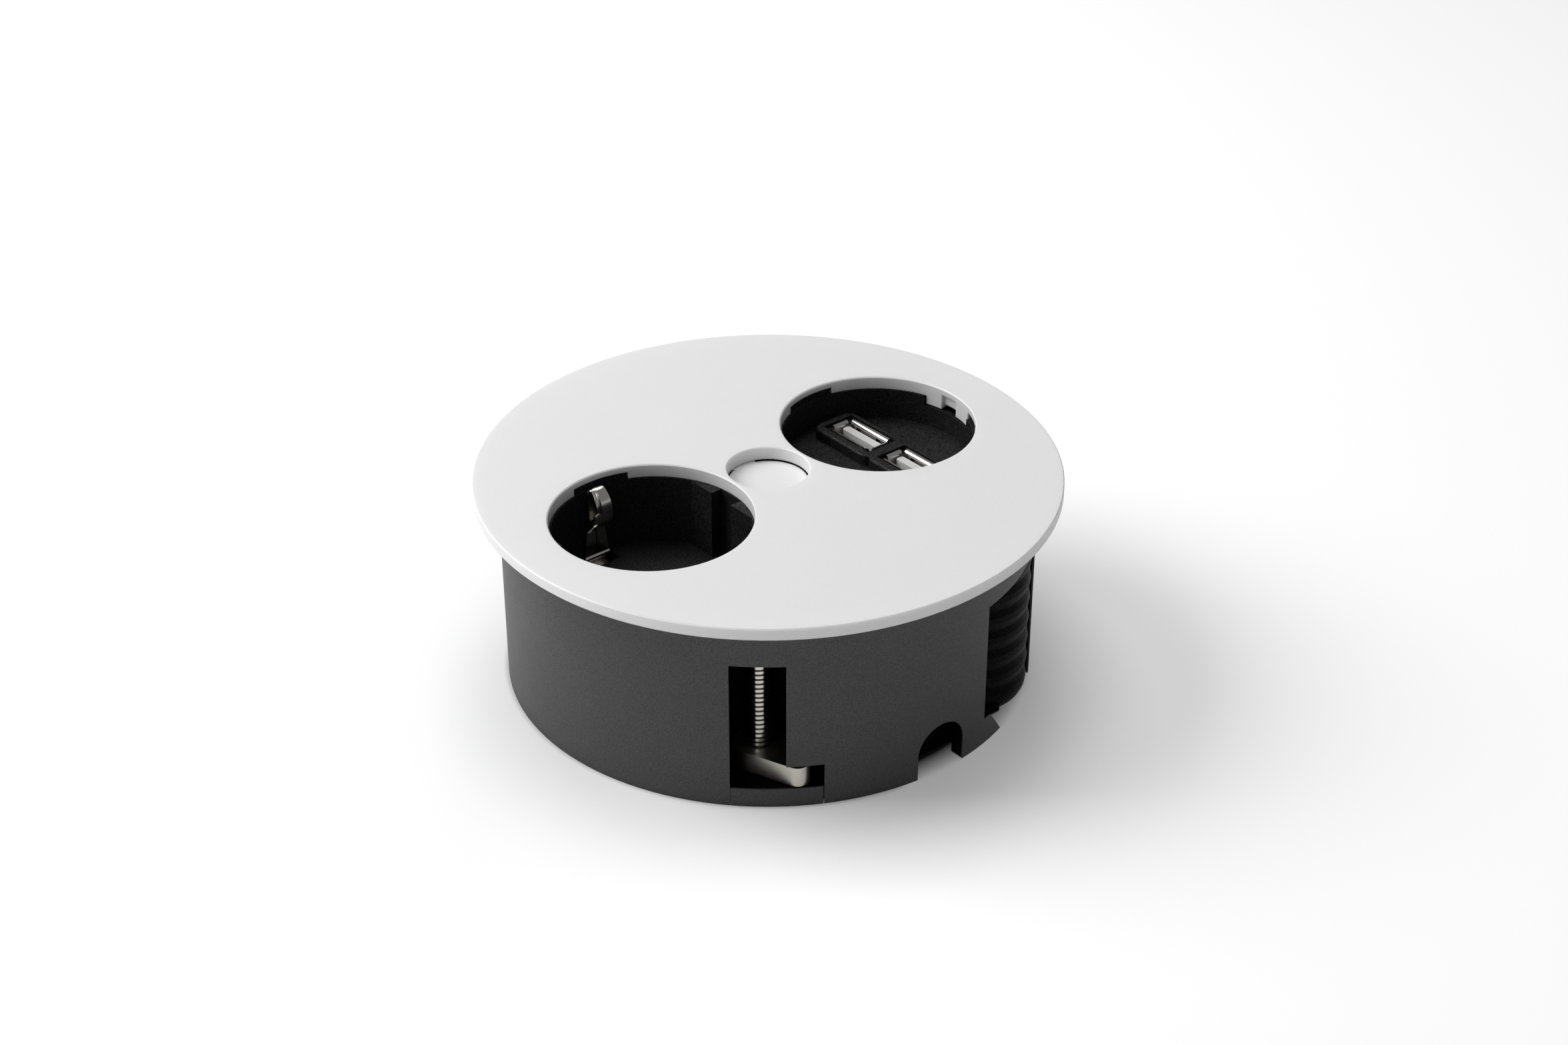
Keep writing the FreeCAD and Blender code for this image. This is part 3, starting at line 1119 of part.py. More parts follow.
def build_usb_tongue(label, across):
    """Contact tongue of one port on its foot block."""
    body = new_body(f"usb_tongue_{label}")
    wall = S["shell_wall"]
    half_x, half_y = S["shell_width"] / 2.0 - wall, S["shell_length"] / 2.0 - wall
    foot_top = BOARD_TOP + S["tongue_foot"]
    block(body, "AdditiveBox", f"tongue_block_{label}", -half_x, half_x, -half_y, half_y, BOARD_TOP, foot_top)
    low_x = S["tongue_shift"] - S["tongue_thickness"] / 2.0
    block(body, "AdditiveBox", f"tongue_blade_{label}", low_x, low_x + S["tongue_thickness"],
          -S["tongue_width"] / 2.0, S["tongue_width"] / 2.0, BOARD_TOP, LIP_TOP - S["tongue_drop"])
    end = (LIP_TOP - S["tongue_drop"]).number

    def upright(edge):
        box = edge.BoundBox
        return box.ZMax > end - 0.01 and box.ZLength > S["tongue_foot"].number

    ease(body, f"tongue_corners_{label}", "Fillet", upright, S["tongue_round"])
    place(body, S["opening_offset"] + S["port_shift"], port_y(across))
    return body


def build_usb_contacts(label, across):
    """Four contact strips on the tongue of one port."""
    strips = []
    face = S["opening_offset"] + S["port_shift"] + S["tongue_shift"] - S["tongue_thickness"] / 2.0
    low = BOARD_TOP + S["tongue_foot"]
    high = LIP_TOP - S["tongue_drop"] - S["contact_drop"]
    for index, share in enumerate((-0.35, -0.12, 0.12, 0.35)):
        strip = doc.addObject("Part::Box", f"contact_{label}_{index}")
        tie(strip, "Length", S["contact_thickness"])
        tie(strip, "Width", S["contact_width"])
        tie(strip, "Height", high - low)
        place(strip, face - S["contact_thickness"],
              port_y(across) + S["tongue_width"] * share - S["contact_width"] / 2.0, low)
        strips.append(strip)
    group = doc.addObject("Part::Compound", f"usb_contacts_{label}")
    group.Label = f"usb_contacts_{label}"
    group.Links = strips
    return group


def build_board():
    """Charger's circuit board, under the port shells."""
    body = new_body("charger_board")
    half_x, half_y = BOARD_WIDTH / 2.0, BOARD_LENGTH / 2.0
    block(body, "AdditiveBox", "board_sheet", -half_x, half_x, -half_y, half_y, BOARD_UNDER, BOARD_TOP)
    place(body, S["opening_offset"])
    return body


def build_transformer():
    """Charger's transformer: core with a winding between two flanges."""
    body = new_body("charger_transformer")
    half_x, half_y = S["transformer_width"] / 2.0, S["transformer_length"] / 2.0
    low = BOARD_UNDER - S["transformer_height"]
    flange = S["transformer_height"] / 6.0
    x = BOARD_WIDTH / 2.0 - half_x - S["leg_radius"]
    block(body, "AdditiveBox", "winding", x - half_x + flange / 2.0, x + half_x - flange / 2.0,
          -half_y + flange / 2.0, half_y - flange / 2.0, low, BOARD_UNDER)
    block(body, "AdditiveBox", "flange_top", x - half_x, x + half_x, -half_y, half_y,
          BOARD_UNDER - flange, BOARD_UNDER)
    block(body, "AdditiveBox", "flange_low", x - half_x, x + half_x, -half_y, half_y, low, low + flange)
    place(body, S["opening_offset"])
    return body


def build_capacitors():
    """Two smoothing capacitors under the board."""
    cans = []
    low = BOARD_UNDER - S["capacitor_height"]
    x = S["opening_offset"] - BOARD_WIDTH / 2.0 + S["capacitor_radius"] + S["leg_radius"]
    for index, across in enumerate((1, -1)):
        can = doc.addObject("Part::Cylinder", f"capacitor_{index}")
        tie(can, "Radius", S["capacitor_radius"])
        tie(can, "Height", S["capacitor_height"])
        place(can, x, S["capacitor_radius"] * 1.2 * across, low)
        cans.append(can)
    group = doc.addObject("Part::Compound", "charger_capacitors")
    group.Label = "charger_capacitors"
    group.Links = cans
    return group


def build_button():
    """Round push button: crowned disc, two lugs under the cover, and a stem through the deck."""
    body = new_body("centre_button")
    rim = BUTTON_TOP - S["button_dome"]
    ring_add(body, "button_disc", S["button_radius"], BUTTON_UNDER, rim)
    radius, dome = S["button_radius"], S["button_dome"]
    crown = [(radius * share, BUTTON_TOP - dome * share ** 2) for share in CROWN_SHARES]
    revolve(body, "button_crown", [(0, rim)] + crown)
    lug, span = radius + S["button_lug"], S["lug_span"]
    for label, middle in (("far", 90.0), ("near", -90.0)):
        sector(body, "AdditiveCylinder", f"lug_{label}", lug, BUTTON_UNDER, COVER_UNDER - S["insert_gap"],
               0, middle - span / 2.0, span)
    ring_add(body, "button_stem", S["stem_radius"], STEM_UNDER, BUTTON_UNDER)
    return body


def build_plunger():
    """Switch plunger under the button's stem."""
    body = new_body("switch_plunger")
    ring_add(body, "plunger_pin", S["plunger_radius"], STEM_UNDER - S["plunger_length"], STEM_UNDER)
    return body


def build_switch():
    """Switch body under the deck, bored for its plunger."""
    body = new_body("switch_body")
    half = S["switch_side"] / 2.0
    block(body, "AdditiveBox", "switch_case", -half, half, -half, half,
          DECK_UNDER - S["switch_height"], DECK_UNDER)
    bore_low = STEM_UNDER - S["plunger_length"] - S["button_travel"] - S["boot_gap"]
    ring_cut(body, "switch_bore", S["plunger_radius"] + S["running_gap"], bore_low, DECK_UNDER + CUT_EXTRA)
    return body


def build_terminals():
    """Terminal block: three poles, hung in the deck by a flange."""
    body = new_body("terminal_block")
    x, y = S["terminal_x"], S["terminal_y"]
    half_x, half_y, rim = S["terminal_length"] / 2.0, S["terminal_width"] / 2.0, S["terminal_rim"]
    top = DECK_TOP + rim * 2.0
    low = top - S["terminal_height"]
    block(body, "AdditiveBox", "terminal_case", x - half_x, x + half_x, y - half_y, y + half_y, low, top)
    block(body, "AdditiveBox", "terminal_flange", x - half_x - rim, x + half_x + rim,
          y - half_y - rim, y + half_y + rim, DECK_TOP, DECK_TOP + rim)
    for index, step in enumerate((-1, 0, 1)):
        pole = x + S["terminal_pitch"] * step
        ring_cut(body, f"pole_{index}", S["terminal_screw"] + S["insert_gap"], DECK_UNDER,
                 top + CUT_EXTRA, pole, y)
        hole = body.newObject("PartDesign::SubtractiveCylinder", f"wire_hole_{index}")
        hole.Placement = FreeCAD.Placement(FreeCAD.Vector(0, 0, 0), FreeCAD.Rotation(FreeCAD.Vector(1, 0, 0), 90))
        tie(hole, "Placement.Base.x", pole)
        tie(hole, "Placement.Base.y", y + half_y + CUT_EXTRA)
        tie(hole, "Placement.Base.z", low + S["terminal_height"] / 3.0)
        tie(hole, "Radius", S["wire_hole"])
        tie(hole, "Height", half_y * 2.0 + CUT_EXTRA * 2.0)
    return body


def build_terminal_screws():
    """Three terminal screws in the block."""
    pins = []
    top = DECK_TOP + S["terminal_rim"]
    for index, step in enumerate((-1, 0, 1)):
        pin = doc.addObject("Part::Cylinder", f"terminal_screw_{index}")
        tie(pin, "Radius", S["terminal_screw"])
        tie(pin, "Height", top - DECK_UNDER)
        place(pin, S["terminal_x"] + S["terminal_pitch"] * step, S["terminal_y"], DECK_UNDER)
        pins.append(pin)
    group = doc.addObject("Part::Compound", "terminal_screws")
    group.Label = "terminal_screws"
    group.Links = pins
    return group


def build_all():
    """Every piece of the module, in the order it is put together."""
    pieces = [build_housing(), build_base_cover(), build_base_screws()]
    pieces += [build_socket_insert(), build_carrier(), build_earth_strap()]
    pieces += [build_contact_sleeve("left", -1), build_contact_sleeve("right", 1)]
    pieces.append(build_usb_insert())
    for label, across in PORTS.items():
        pieces += [build_usb_shell(label, across), build_usb_tongue(label, across),
                   build_usb_contacts(label, across)]
    pieces += [build_board(), build_transformer(), build_capacitors(), build_insert_screws()]
    for label, half_turn in CLAMPS.items():
        pieces += [build_clamp_screw(label, half_turn), build_claw(label, half_turn)]
    pieces += [build_washers(), build_cord_sleeve(), build_terminals(), build_terminal_screws()]
    pieces += [build_switch(), build_plunger(), build_button(), build_cover()]
    return pieces


def check_document(pieces):
    """Stops with the names of whatever failed."""
    doc.recompute()
    faults = [item.Name for item in doc.Objects if {"Invalid", "Error"} & set(item.State)]
    for piece in pieces:
        if piece.Shape.isNull() or not piece.Shape.isValid() or not piece.Shape.Solids:
            faults.append(piece.Label)
    if faults:
        raise RuntimeError("these failed: " + ", ".join(faults))


def write_parts(pieces):
    os.makedirs("parts", exist_ok=True)
    for piece in pieces:
        piece.Shape.exportStep(os.path.join("parts", piece.Label + ".step"))
        solids = len(piece.Shape.Solids)
        print(f"{piece.Label}: {solids} solid(s), {piece.Shape.Volume:.1f} mm3")


pieces = build_all()
check_document(pieces)
write_parts(pieces)
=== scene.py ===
# %% [markdown]
# # A round power module for a desk
# The module is a dark round body with a white cover, standing on a pale surface. Under the
# left opening is an earthed socket, under the right one are two charging ports, and between
# them sits a small push button.
# The solid model arrives as a frame of ready pieces, so this lesson is about finishes, threads,
# light and the camera. The pieces keep their place: one frame serves both models.

# %% Load the solid model
import bmesh
import bpy
import json
import math
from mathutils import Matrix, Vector


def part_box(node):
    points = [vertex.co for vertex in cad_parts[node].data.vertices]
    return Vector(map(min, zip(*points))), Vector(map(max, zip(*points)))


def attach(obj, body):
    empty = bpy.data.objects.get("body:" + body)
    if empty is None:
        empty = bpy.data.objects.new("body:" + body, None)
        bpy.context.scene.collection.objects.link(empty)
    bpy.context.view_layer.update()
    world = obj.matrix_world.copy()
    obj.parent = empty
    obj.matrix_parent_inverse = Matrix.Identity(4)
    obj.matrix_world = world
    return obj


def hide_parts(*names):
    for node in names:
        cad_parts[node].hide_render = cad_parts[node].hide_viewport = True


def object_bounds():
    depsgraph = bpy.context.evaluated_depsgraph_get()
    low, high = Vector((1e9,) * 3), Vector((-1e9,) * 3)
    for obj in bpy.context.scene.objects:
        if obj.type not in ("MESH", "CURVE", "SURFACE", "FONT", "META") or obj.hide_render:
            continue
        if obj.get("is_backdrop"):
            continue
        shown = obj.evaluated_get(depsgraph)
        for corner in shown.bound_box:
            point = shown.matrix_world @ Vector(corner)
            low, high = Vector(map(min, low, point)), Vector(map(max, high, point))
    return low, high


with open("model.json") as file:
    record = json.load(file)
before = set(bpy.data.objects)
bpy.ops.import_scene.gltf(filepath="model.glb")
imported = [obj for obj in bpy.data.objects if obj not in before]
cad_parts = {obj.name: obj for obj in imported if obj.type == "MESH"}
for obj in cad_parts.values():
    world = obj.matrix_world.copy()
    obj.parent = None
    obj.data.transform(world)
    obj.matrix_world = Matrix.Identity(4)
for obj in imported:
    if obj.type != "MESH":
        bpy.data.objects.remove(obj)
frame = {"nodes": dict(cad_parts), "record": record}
nodes = frame["nodes"]
MM_PER_M = 1000.0
solid_low, solid_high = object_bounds()
size_mm = [round((high - low) * MM_PER_M, 1) for low, high in zip(solid_low, solid_high)]
print("pieces:", len(nodes), "size in mm:", size_mm)

# %% [markdown]
# ## The camera
# A product photograph of a small thing is taken with a long lens from above the table. The
# camera here has a 60 mm lens, stands 326 mm over the table and looks 31 degrees down.
# A camera can be aimed by a constraint or by plain angles. Plain angles are chosen, because they
# are the ones that were measured.

# %% Camera
LOOK_TURN = math.radians(-39.85)
LOOK_DOWN = math.radians(30.92)
CAMERA_RIGHT, CAMERA_AWAY, CAMERA_UP = 0.0034, -0.48924, 0.3263


def beside(right, away, up):
    """A place given to the right of the camera's line, away from it, and up."""
    c, s = math.cos(LOOK_TURN), math.sin(LOOK_TURN)
    return (right * c - away * s, right * s + away * c, up)


camera_data = bpy.data.cameras.new("view_camera")
camera_data.sensor_width = 36.0
camera_data.lens = 60.136
camera_data.clip_start = 0.01
camera_data.clip_end = 20.0
camera = bpy.data.objects.new("view_camera", camera_data)
bpy.context.scene.collection.objects.link(camera)
camera.location = beside(CAMERA_RIGHT, CAMERA_AWAY, CAMERA_UP)
camera.rotation_euler = (math.pi / 2 - LOOK_DOWN, 0.0, LOOK_TURN)
bpy.context.scene.camera = camera
print("camera at", [round(v, 3) for v in camera.location])

# %% [markdown]
# ## Node helpers
# Every finish is a small tree of nodes. A few helpers add a node, join two sockets, work out a
# number and turn one range of numbers into another, so that each tree below reads as a recipe.
# Patterns are placed by Object coordinates. Generated ones would stretch with the piece's size.


# %% Nodes and links
def link(tree, source, target):
    """Joins an output socket to an input socket."""
    tree.links.new(source, target)


def add_node(tree, kind, **settings):
    """Adds a node and fills its named inputs with constants."""
    node = tree.nodes.new(kind)
    for name, value in settings.items():
        node.inputs[name.replace("_", " ")].default_value = value
    return node


def new_material(name):
    """A material with an empty node tree and an output."""
    material = bpy.data.materials.new(name)
    material.use_nodes = True
    material.node_tree.nodes.clear()
    output = material.node_tree.nodes.new("ShaderNodeOutputMaterial")
    return material, material.node_tree, output


print("nodes can be added and joined")


# %% Sums in a tree
def calculate(tree, operation, first, second=None):
    """A Math node: a number goes in as a constant, a socket as a link."""
    node = tree.nodes.new("ShaderNodeMath")
    node.operation = operation
    for index, value in enumerate((first, second)):
        if isinstance(value, bpy.types.NodeSocket):
            link(tree, value, node.inputs[index])
        elif value is not None:
            node.inputs[index].default_value = value
    return node.outputs[0]


def ranged(tree, value, start, end, low, high):
    """A Map Range node: value from start to end gives low to high."""
    node = add_node(
        tree, "ShaderNodeMapRange", From_Min=start, From_Max=end, To_Min=low, To_Max=high)
    link(tree, value, node.inputs["Value"])
    return node.outputs["Result"]


def along(tree, point, direction):
    """How far a point lies in a direction."""
    node = tree.nodes.new("ShaderNodeVectorMath")
    node.operation = "DOT_PRODUCT"
    node.inputs[1].default_value = direction
    link(tree, point, node.inputs[0])
    return node.outputs["Value"]


def axis_distance(tree, point):
    """A point's distance from the upright axis."""
    flat = tree.nodes.new("ShaderNodeVectorMath")
    flat.operation = "MULTIPLY"
    flat.inputs[1].default_value = (1.0, 1.0, 0.0)
    link(tree, point, flat.inputs[0])
    reach = tree.nodes.new("ShaderNodeVectorMath")
    reach.operation = "LENGTH"
    link(tree, flat.outputs[0], reach.inputs[0])
    return reach.outputs["Value"]


print("sums ready")

# %% [markdown]
# ## The table
# The module stands on a seamless pale sweep that photographs as pure white, with a soft shadow.
# A white floor under plain light comes out light grey, and more light would bleach the cover too.
# So the floor glows a little, but only for rays that come straight from the camera or from a
# shiny surface: it looks white and still shows the shadow, and it adds no light to the module.
# Beside the lit wall the glow is weaker: a painted shadow ring on the floor. Under the body both
# glow and paint fade out: a painted contact shadow, more gradual under the arch, which also keeps
# a glow from shining through the narrow gaps at the foot of the wall.

# %% How the floor fades into painted shade
GLOW = 0.21
LIT_SIDE_WIDTH = 0.06
# Painted shadow ring beside the lit wall: where it starts and ends, and how deep it is
SHADE_RING_FROM, SHADE_RING_TO, SHADE_RING_DEPTH = 0.055, 0.16, 0.8
# Painted contact shadow under the arch and under the wall
ARCH_SIDE_FROM, ARCH_SIDE_TO = -0.020, -0.010
UNDER_ARCH_FROM, UNDER_ARCH_TO = 0.0525, 0.0585
UNDER_WALL_FROM, UNDER_WALL_TO = 0.0562, 0.0592
# Floor paint: dark under the body as painted shade, its own grey outside
SHADE_PAINT_UNDER, PAINT_OUTSIDE = 0.05, 0.88


def floor_shares(tree):
    """The share of the glow and the grey of the paint at a point of the floor, with painted shade
    by the module.
    """
    point = tree.nodes.new("ShaderNodeTexCoord").outputs["Object"]
    distance = axis_distance(tree, point)
    left = tuple(-part for part in beside(1.0, 0.0, 0.0))
    beside_lit_wall = ranged(tree, along(tree, point, left), 0.0, LIT_SIDE_WIDTH, 0.0, 1.0)
    # The glow drops near the body on the lit side: a painted shadow ring
    near = ranged(tree, distance, SHADE_RING_FROM, SHADE_RING_TO, SHADE_RING_DEPTH, 0.0)
    painted_shade_ring = calculate(tree, "MULTIPLY", beside_lit_wall, near)
    # Glow and paint fade under the wall and, more gradually, under the arch: a painted contact
    # shadow
    to_the_right = along(tree, point, (1.0, 0.0, 0.0))
    by_arch = ranged(tree, to_the_right, ARCH_SIDE_FROM, ARCH_SIDE_TO, 0.0, 1.0)
    under_arch = ranged(tree, distance, UNDER_ARCH_FROM, UNDER_ARCH_TO, 0.0, 1.0)
    under_wall = ranged(tree, distance, UNDER_WALL_FROM, UNDER_WALL_TO, 0.0, 1.0)
    soft_rim = calculate(tree, "MULTIPLY", by_arch, under_arch)
    outside = calculate(tree, "MAXIMUM", under_wall, soft_rim)
    glow_share = calculate(tree, "MULTIPLY", ranged(tree, painted_shade_ring, 0.0, 1.0, 1.0, 0.0), outside)
    return glow_share, ranged(tree, outside, 0.0, 1.0, SHADE_PAINT_UNDER, PAINT_OUTSIDE)


print("the floor fades under the module and glows with", GLOW)

# %% Floor
WHITE = (1.0, 1.0, 1.0, 1.0)


def floor_material():
    """White floor with painted shade by the module: it takes the shadow, and glows for the camera
    and for reflections only.
    """
    material, tree, output = new_material("white_sweep")
    glow_share, shaded_paint_grey = floor_shares(tree)
    paint = tree.nodes.new("ShaderNodeBsdfDiffuse")
    link(tree, shaded_paint_grey, paint.inputs["Color"])
    glow = add_node(tree, "ShaderNodeEmission", Color=WHITE)
    path = tree.nodes.new("ShaderNodeLightPath").outputs
    seen = calculate(tree, "MAXIMUM", path["Is Camera Ray"], path["Is Glossy Ray"])
    strength = calculate(tree, "MULTIPLY", calculate(tree, "MULTIPLY", seen, GLOW), glow_share)
    link(tree, strength, glow.inputs["Strength"])
    both = tree.nodes.new("ShaderNodeAddShader")
    link(tree, paint.outputs[0], both.inputs[0])
    link(tree, glow.outputs[0], both.inputs[1])
    link(tree, both.outputs[0], output.inputs["Surface"])
    return material


bpy.ops.mesh.primitive_plane_add(size=8.0, location=(0.0, 0.0, 0.0))
floor = bpy.context.object
floor.name = "table_sweep"
floor.data.materials.append(floor_material())
floor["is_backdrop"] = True
print("floor is", floor.dimensions[0], "m wide")

# %% [markdown]
# ## Light
# Three soft lamps do the work: a large one from the left draws the shadow to the right, one from
# above lights the cover, and a weak one in front reaches into the slot. Their sum is kept low
# enough for the cover to stay below pure white, so that its edge shows against the table.

# %% Lamps
LAMP_AIM = Vector((0.0, 0.0, 0.02))
LAMPS = (
    ("left_lamp", (-0.95, 0.15, 0.85), (0.8, 0.8), 13.2),
    ("top_lamp", (-0.1, 0.35, 1.3), (0.7, 0.7), 6.2),
    ("front_lamp", (-0.5, -1.2, 0.7), (0.5, 0.4), 0.9),
)


def softbox(name, place, size, watts):
    """A rectangular lamp that points at the module."""
    data = bpy.data.lights.new(name, "AREA")
    data.shape = "RECTANGLE"
    data.size, data.size_y = size
    data.energy = watts
    lamp = bpy.data.objects.new(name, data)
    lamp.location = place
    lamp.rotation_euler = (LAMP_AIM - Vector(place)).to_track_quat("-Z", "Y").to_euler()
    bpy.context.scene.collection.objects.link(lamp)


for name, place, size, watts in LAMPS:
    softbox(name, beside(*place), size, watts)
print("lamps:", len(LAMPS))

# %% World
SKY_LIGHT = 0.19

world = bpy.data.worlds.new("studio")
world.use_nodes = True
bpy.context.scene.world = world
tree = world.node_tree
tree.nodes.clear()
dim_sky = add_node(tree, "ShaderNodeBackground", Color=WHITE, Strength=SKY_LIGHT)
white_sky = add_node(tree, "ShaderNodeBackground", Color=WHITE, Strength=1.0)
pick = tree.nodes.new("ShaderNodeMixShader")
link(tree, tree.nodes.new("ShaderNodeLightPath").outputs["Is Camera Ray"], pick.inputs["Fac"])
link(tree, dim_sky.outputs[0], pick.inputs[1])
link(tree, white_sky.outputs[0], pick.inputs[2])
link(tree, pick.outputs[0], tree.nodes.new("ShaderNodeOutputWorld").inputs["Surface"])
bpy.context.scene.view_settings.view_transform = "Standard"
print("the sky lights with", SKY_LIGHT, "and looks white")

# %% [markdown]
# ## Moulded plastics
# The cover is white plastic with a satin face, and a little light passes into it, so the walls of
# its openings are bright too. The body and the inserts are dark plastic from a spark-eroded
# mould, which leaves a fine grain that catches the light as tiny specks.
# A grain can be an image or a computed pattern. A computed noise is chosen, because it has no
# seams and keeps its true size in millimetres: one Noise drives bump, tint and shine, and a
# second, larger one lets the gloss wander a little, as it does where hands have polished it.
# Inside its wall the body turns black and dull: painted shade, which gives the slots and the arch
# their depth.


# %% What both kinds of finish share
def tinted(tree, color, share):
    """A colour multiplied by a share."""
    mix = tree.nodes.new("ShaderNodeMix")
    mix.data_type = "RGBA"
    mix.blend_type = "MULTIPLY"
    mix.inputs["Factor"].default_value = 1.0
    mix.inputs["A"].default_value = (*color, 1.0)
    link(tree, share, mix.inputs["B"])
    return mix.outputs["Result"]


def bump(tree, shader, height, strength, depth):
    """Lets a pattern bend the shader's normals."""
    node = add_node(tree, "ShaderNodeBump", Strength=strength, Distance=depth)
    link(tree, height, node.inputs["Height"])
    link(tree, node.outputs["Normal"], shader.inputs["Normal"])


print("tint and bump ready")

# %% Skin and painted inner shade
# How the painted inner shade blends in, and how much colour and shine it leaves
SKIN_BLEND, INNER_SHADE_SHARE = 0.0003, 0.05
UNDER_SIDE_FROM, UNDER_SIDE_TO = 0.0002, 0.0004


def painted_inner_shade(tree, point, shade_inside_from):
    """1 on the wall's outer skin, from shade_inside_from outwards, and on the under side; little
    inside: painted shade.
    """
    distance = axis_distance(tree, point)
    skin = ranged(tree, distance, shade_inside_from - SKIN_BLEND, shade_inside_from, INNER_SHADE_SHARE, 1.0)
    height = along(tree, point, (0.0, 0.0, 1.0))
    under = ranged(tree, height, UNDER_SIDE_FROM, UNDER_SIDE_TO, 1.0, 0.0)
    return calculate(tree, "MAXIMUM", skin, under)


print("skin ready")

# %% Moulded plastic
GRAIN_FROM, GRAIN_TO, GRAIN_DEPTH = 0.38, 0.62, 0.0002
CLOUD_SCALE, GLOSS_WANDER = 60.0, 0.05
MILKY_DEPTH = 0.003


def moulded_plastic(name, color, roughness, grain_mm, relief, mottle, specular=0.5,
                    shade_inside_from=None, milky=0.0):
    """Plastic with a mould grain of a size in mm, a relief and a mottled tint."""
    material, tree, output = new_material(name)
    shader = add_node(tree, "ShaderNodeBsdfPrincipled", Subsurface_Weight=milky,
                      Subsurface_Radius=(1.0, 1.0, 1.0), Subsurface_Scale=MILKY_DEPTH)
    point = tree.nodes.new("ShaderNodeTexCoord").outputs["Object"]
    grain = add_node(
        tree, "ShaderNodeTexNoise", Scale=MM_PER_M / grain_mm, Detail=3.0, Roughness=0.6)
    cloud = add_node(tree, "ShaderNodeTexNoise", Scale=CLOUD_SCALE, Detail=2.0, Roughness=0.5)
    for noise in (grain, cloud):
        link(tree, point, noise.inputs["Vector"])
    share = ranged(tree, grain.outputs["Fac"], GRAIN_FROM, GRAIN_TO, 1.0 - mottle, 1.0 + mottle)
    # Inside the body's wall the tint and the shine drop: painted shade
    if shade_inside_from is not None:
        share = calculate(tree, "MULTIPLY", share, painted_inner_shade(tree, point, shade_inside_from))
    shine = ranged(tree, share, 0.0, 2.0, 0.0, 2.0 * specular)
    gloss = ranged(tree, cloud.outputs["Fac"], 0.0, 1.0,
                   roughness - GLOSS_WANDER, roughness + GLOSS_WANDER)
    link(tree, tinted(tree, color, share), shader.inputs["Base Color"])
    link(tree, shine, shader.inputs["Specular IOR Level"])
    link(tree, gloss, shader.inputs["Roughness"])
    bump(tree, shader, grain.outputs["Fac"], relief, GRAIN_DEPTH)
    link(tree, shader.outputs[0], output.inputs["Surface"])
    return material


FINISHES = {}
for name, look in {
    "cover_white": dict(
        color=(0.79, 0.79, 0.79), roughness=0.42, grain_mm=0.35, relief=0.05, mottle=0.01,
        milky=0.35),
    # Body: its own dark grey, with painted shade inside its wall
    "body_anthracite": dict(
        color=(0.038, 0.038, 0.039), roughness=0.50, grain_mm=0.30, relief=0.06, mottle=0.18,
        specular=0.45, shade_inside_from=0.0579),
    "insert_black": dict(
        color=(0.008, 0.008, 0.0085), roughness=0.55, grain_mm=0.28, relief=0.45, mottle=0.7,
        specular=0.25),
    "port_grey": dict(
        color=(0.60, 0.60, 0.585), roughness=0.40, grain_mm=0.25, relief=0.10, mottle=0.02),
    "sleeve_rubber": dict(
        color=(0.003, 0.003, 0.0032), roughness=0.45, grain_mm=0.45, relief=0.35, mottle=0.3,
        specular=0.06),
    "board_green": dict(
        color=(0.03, 0.16, 0.08), roughness=0.25, grain_mm=1.2, relief=0.10, mottle=0.10),
}.items():
    FINISHES[name] = moulded_plastic(name, **look)
print("plastics:", len(FINISHES))

# %% [markdown]
# ## Metals
# The claws and the earth springs are nickel-plated steel, the screws are zinc plated, and the
# port shells are bright tin plate. Plating is smooth but never a mirror: the sheet under it was
# rolled, so it carries faint lines. A stretched noise gives those lines, and drives tone,
# roughness and bump by one value. The finer the plating, the smaller that value is.

# %% Plated metal
LINE_DARK, LINE_LIGHT, LINE_GLOSS, LINE_DEPTH = 0.8, 0.6, 2.5, 0.00005


def plated_metal(name, color, roughness, stretch=(400.0, 400.0, 2500.0), lines=0.12):
    """Plated sheet metal with faint drawn lines."""
    material, tree, output = new_material(name)
    shader = add_node(tree, "ShaderNodeBsdfPrincipled", Metallic=1.0)
    scaled = add_node(tree, "ShaderNodeMapping", Scale=stretch)
    link(tree, tree.nodes.new("ShaderNodeTexCoord").outputs["Object"], scaled.inputs["Vector"])
    noise = add_node(tree, "ShaderNodeTexNoise", Scale=1.0, Detail=4.0, Roughness=0.6)
    link(tree, scaled.outputs["Vector"], noise.inputs["Vector"])
    drawn = noise.outputs["Fac"]
    tone = ranged(tree, drawn, 0.0, 1.0, 1.0 - LINE_DARK * lines, 1.0 + LINE_LIGHT * lines)
    gloss = ranged(tree, drawn, 0.0, 1.0, roughness * (1.0 - LINE_GLOSS * lines),
                   roughness * (1.0 + LINE_GLOSS * lines))
    link(tree, tinted(tree, color, tone), shader.inputs["Base Color"])
    link(tree, gloss, shader.inputs["Roughness"])
    bump(tree, shader, drawn, lines, LINE_DEPTH)
    link(tree, shader.outputs[0], output.inputs["Surface"])
    return material


for name, look in {
    "claw_nickel": dict(color=(0.58, 0.555, 0.51), roughness=0.34),
    "strap_nickel": dict(
        color=(0.72, 0.70, 0.66), roughness=0.20, stretch=(2500.0, 400.0, 400.0), lines=0.005),
    "screw_steel": dict(
        color=(0.50, 0.487, 0.455), roughness=0.17, stretch=(900.0, 900.0, 900.0), lines=0.005),
    "shell_steel": dict(
        color=(0.62, 0.61, 0.60), roughness=0.20, stretch=(400.0, 400.0, 1500.0), lines=0.01),
    "contact_brass": dict(color=(0.74, 0.58, 0.30), roughness=0.28),
    "can_aluminium": dict(color=(0.68, 0.68, 0.70), roughness=0.30),
}.items():
    FINISHES[name] = plated_metal(name, **look)
print("finishes with the metals:", len(FINISHES))

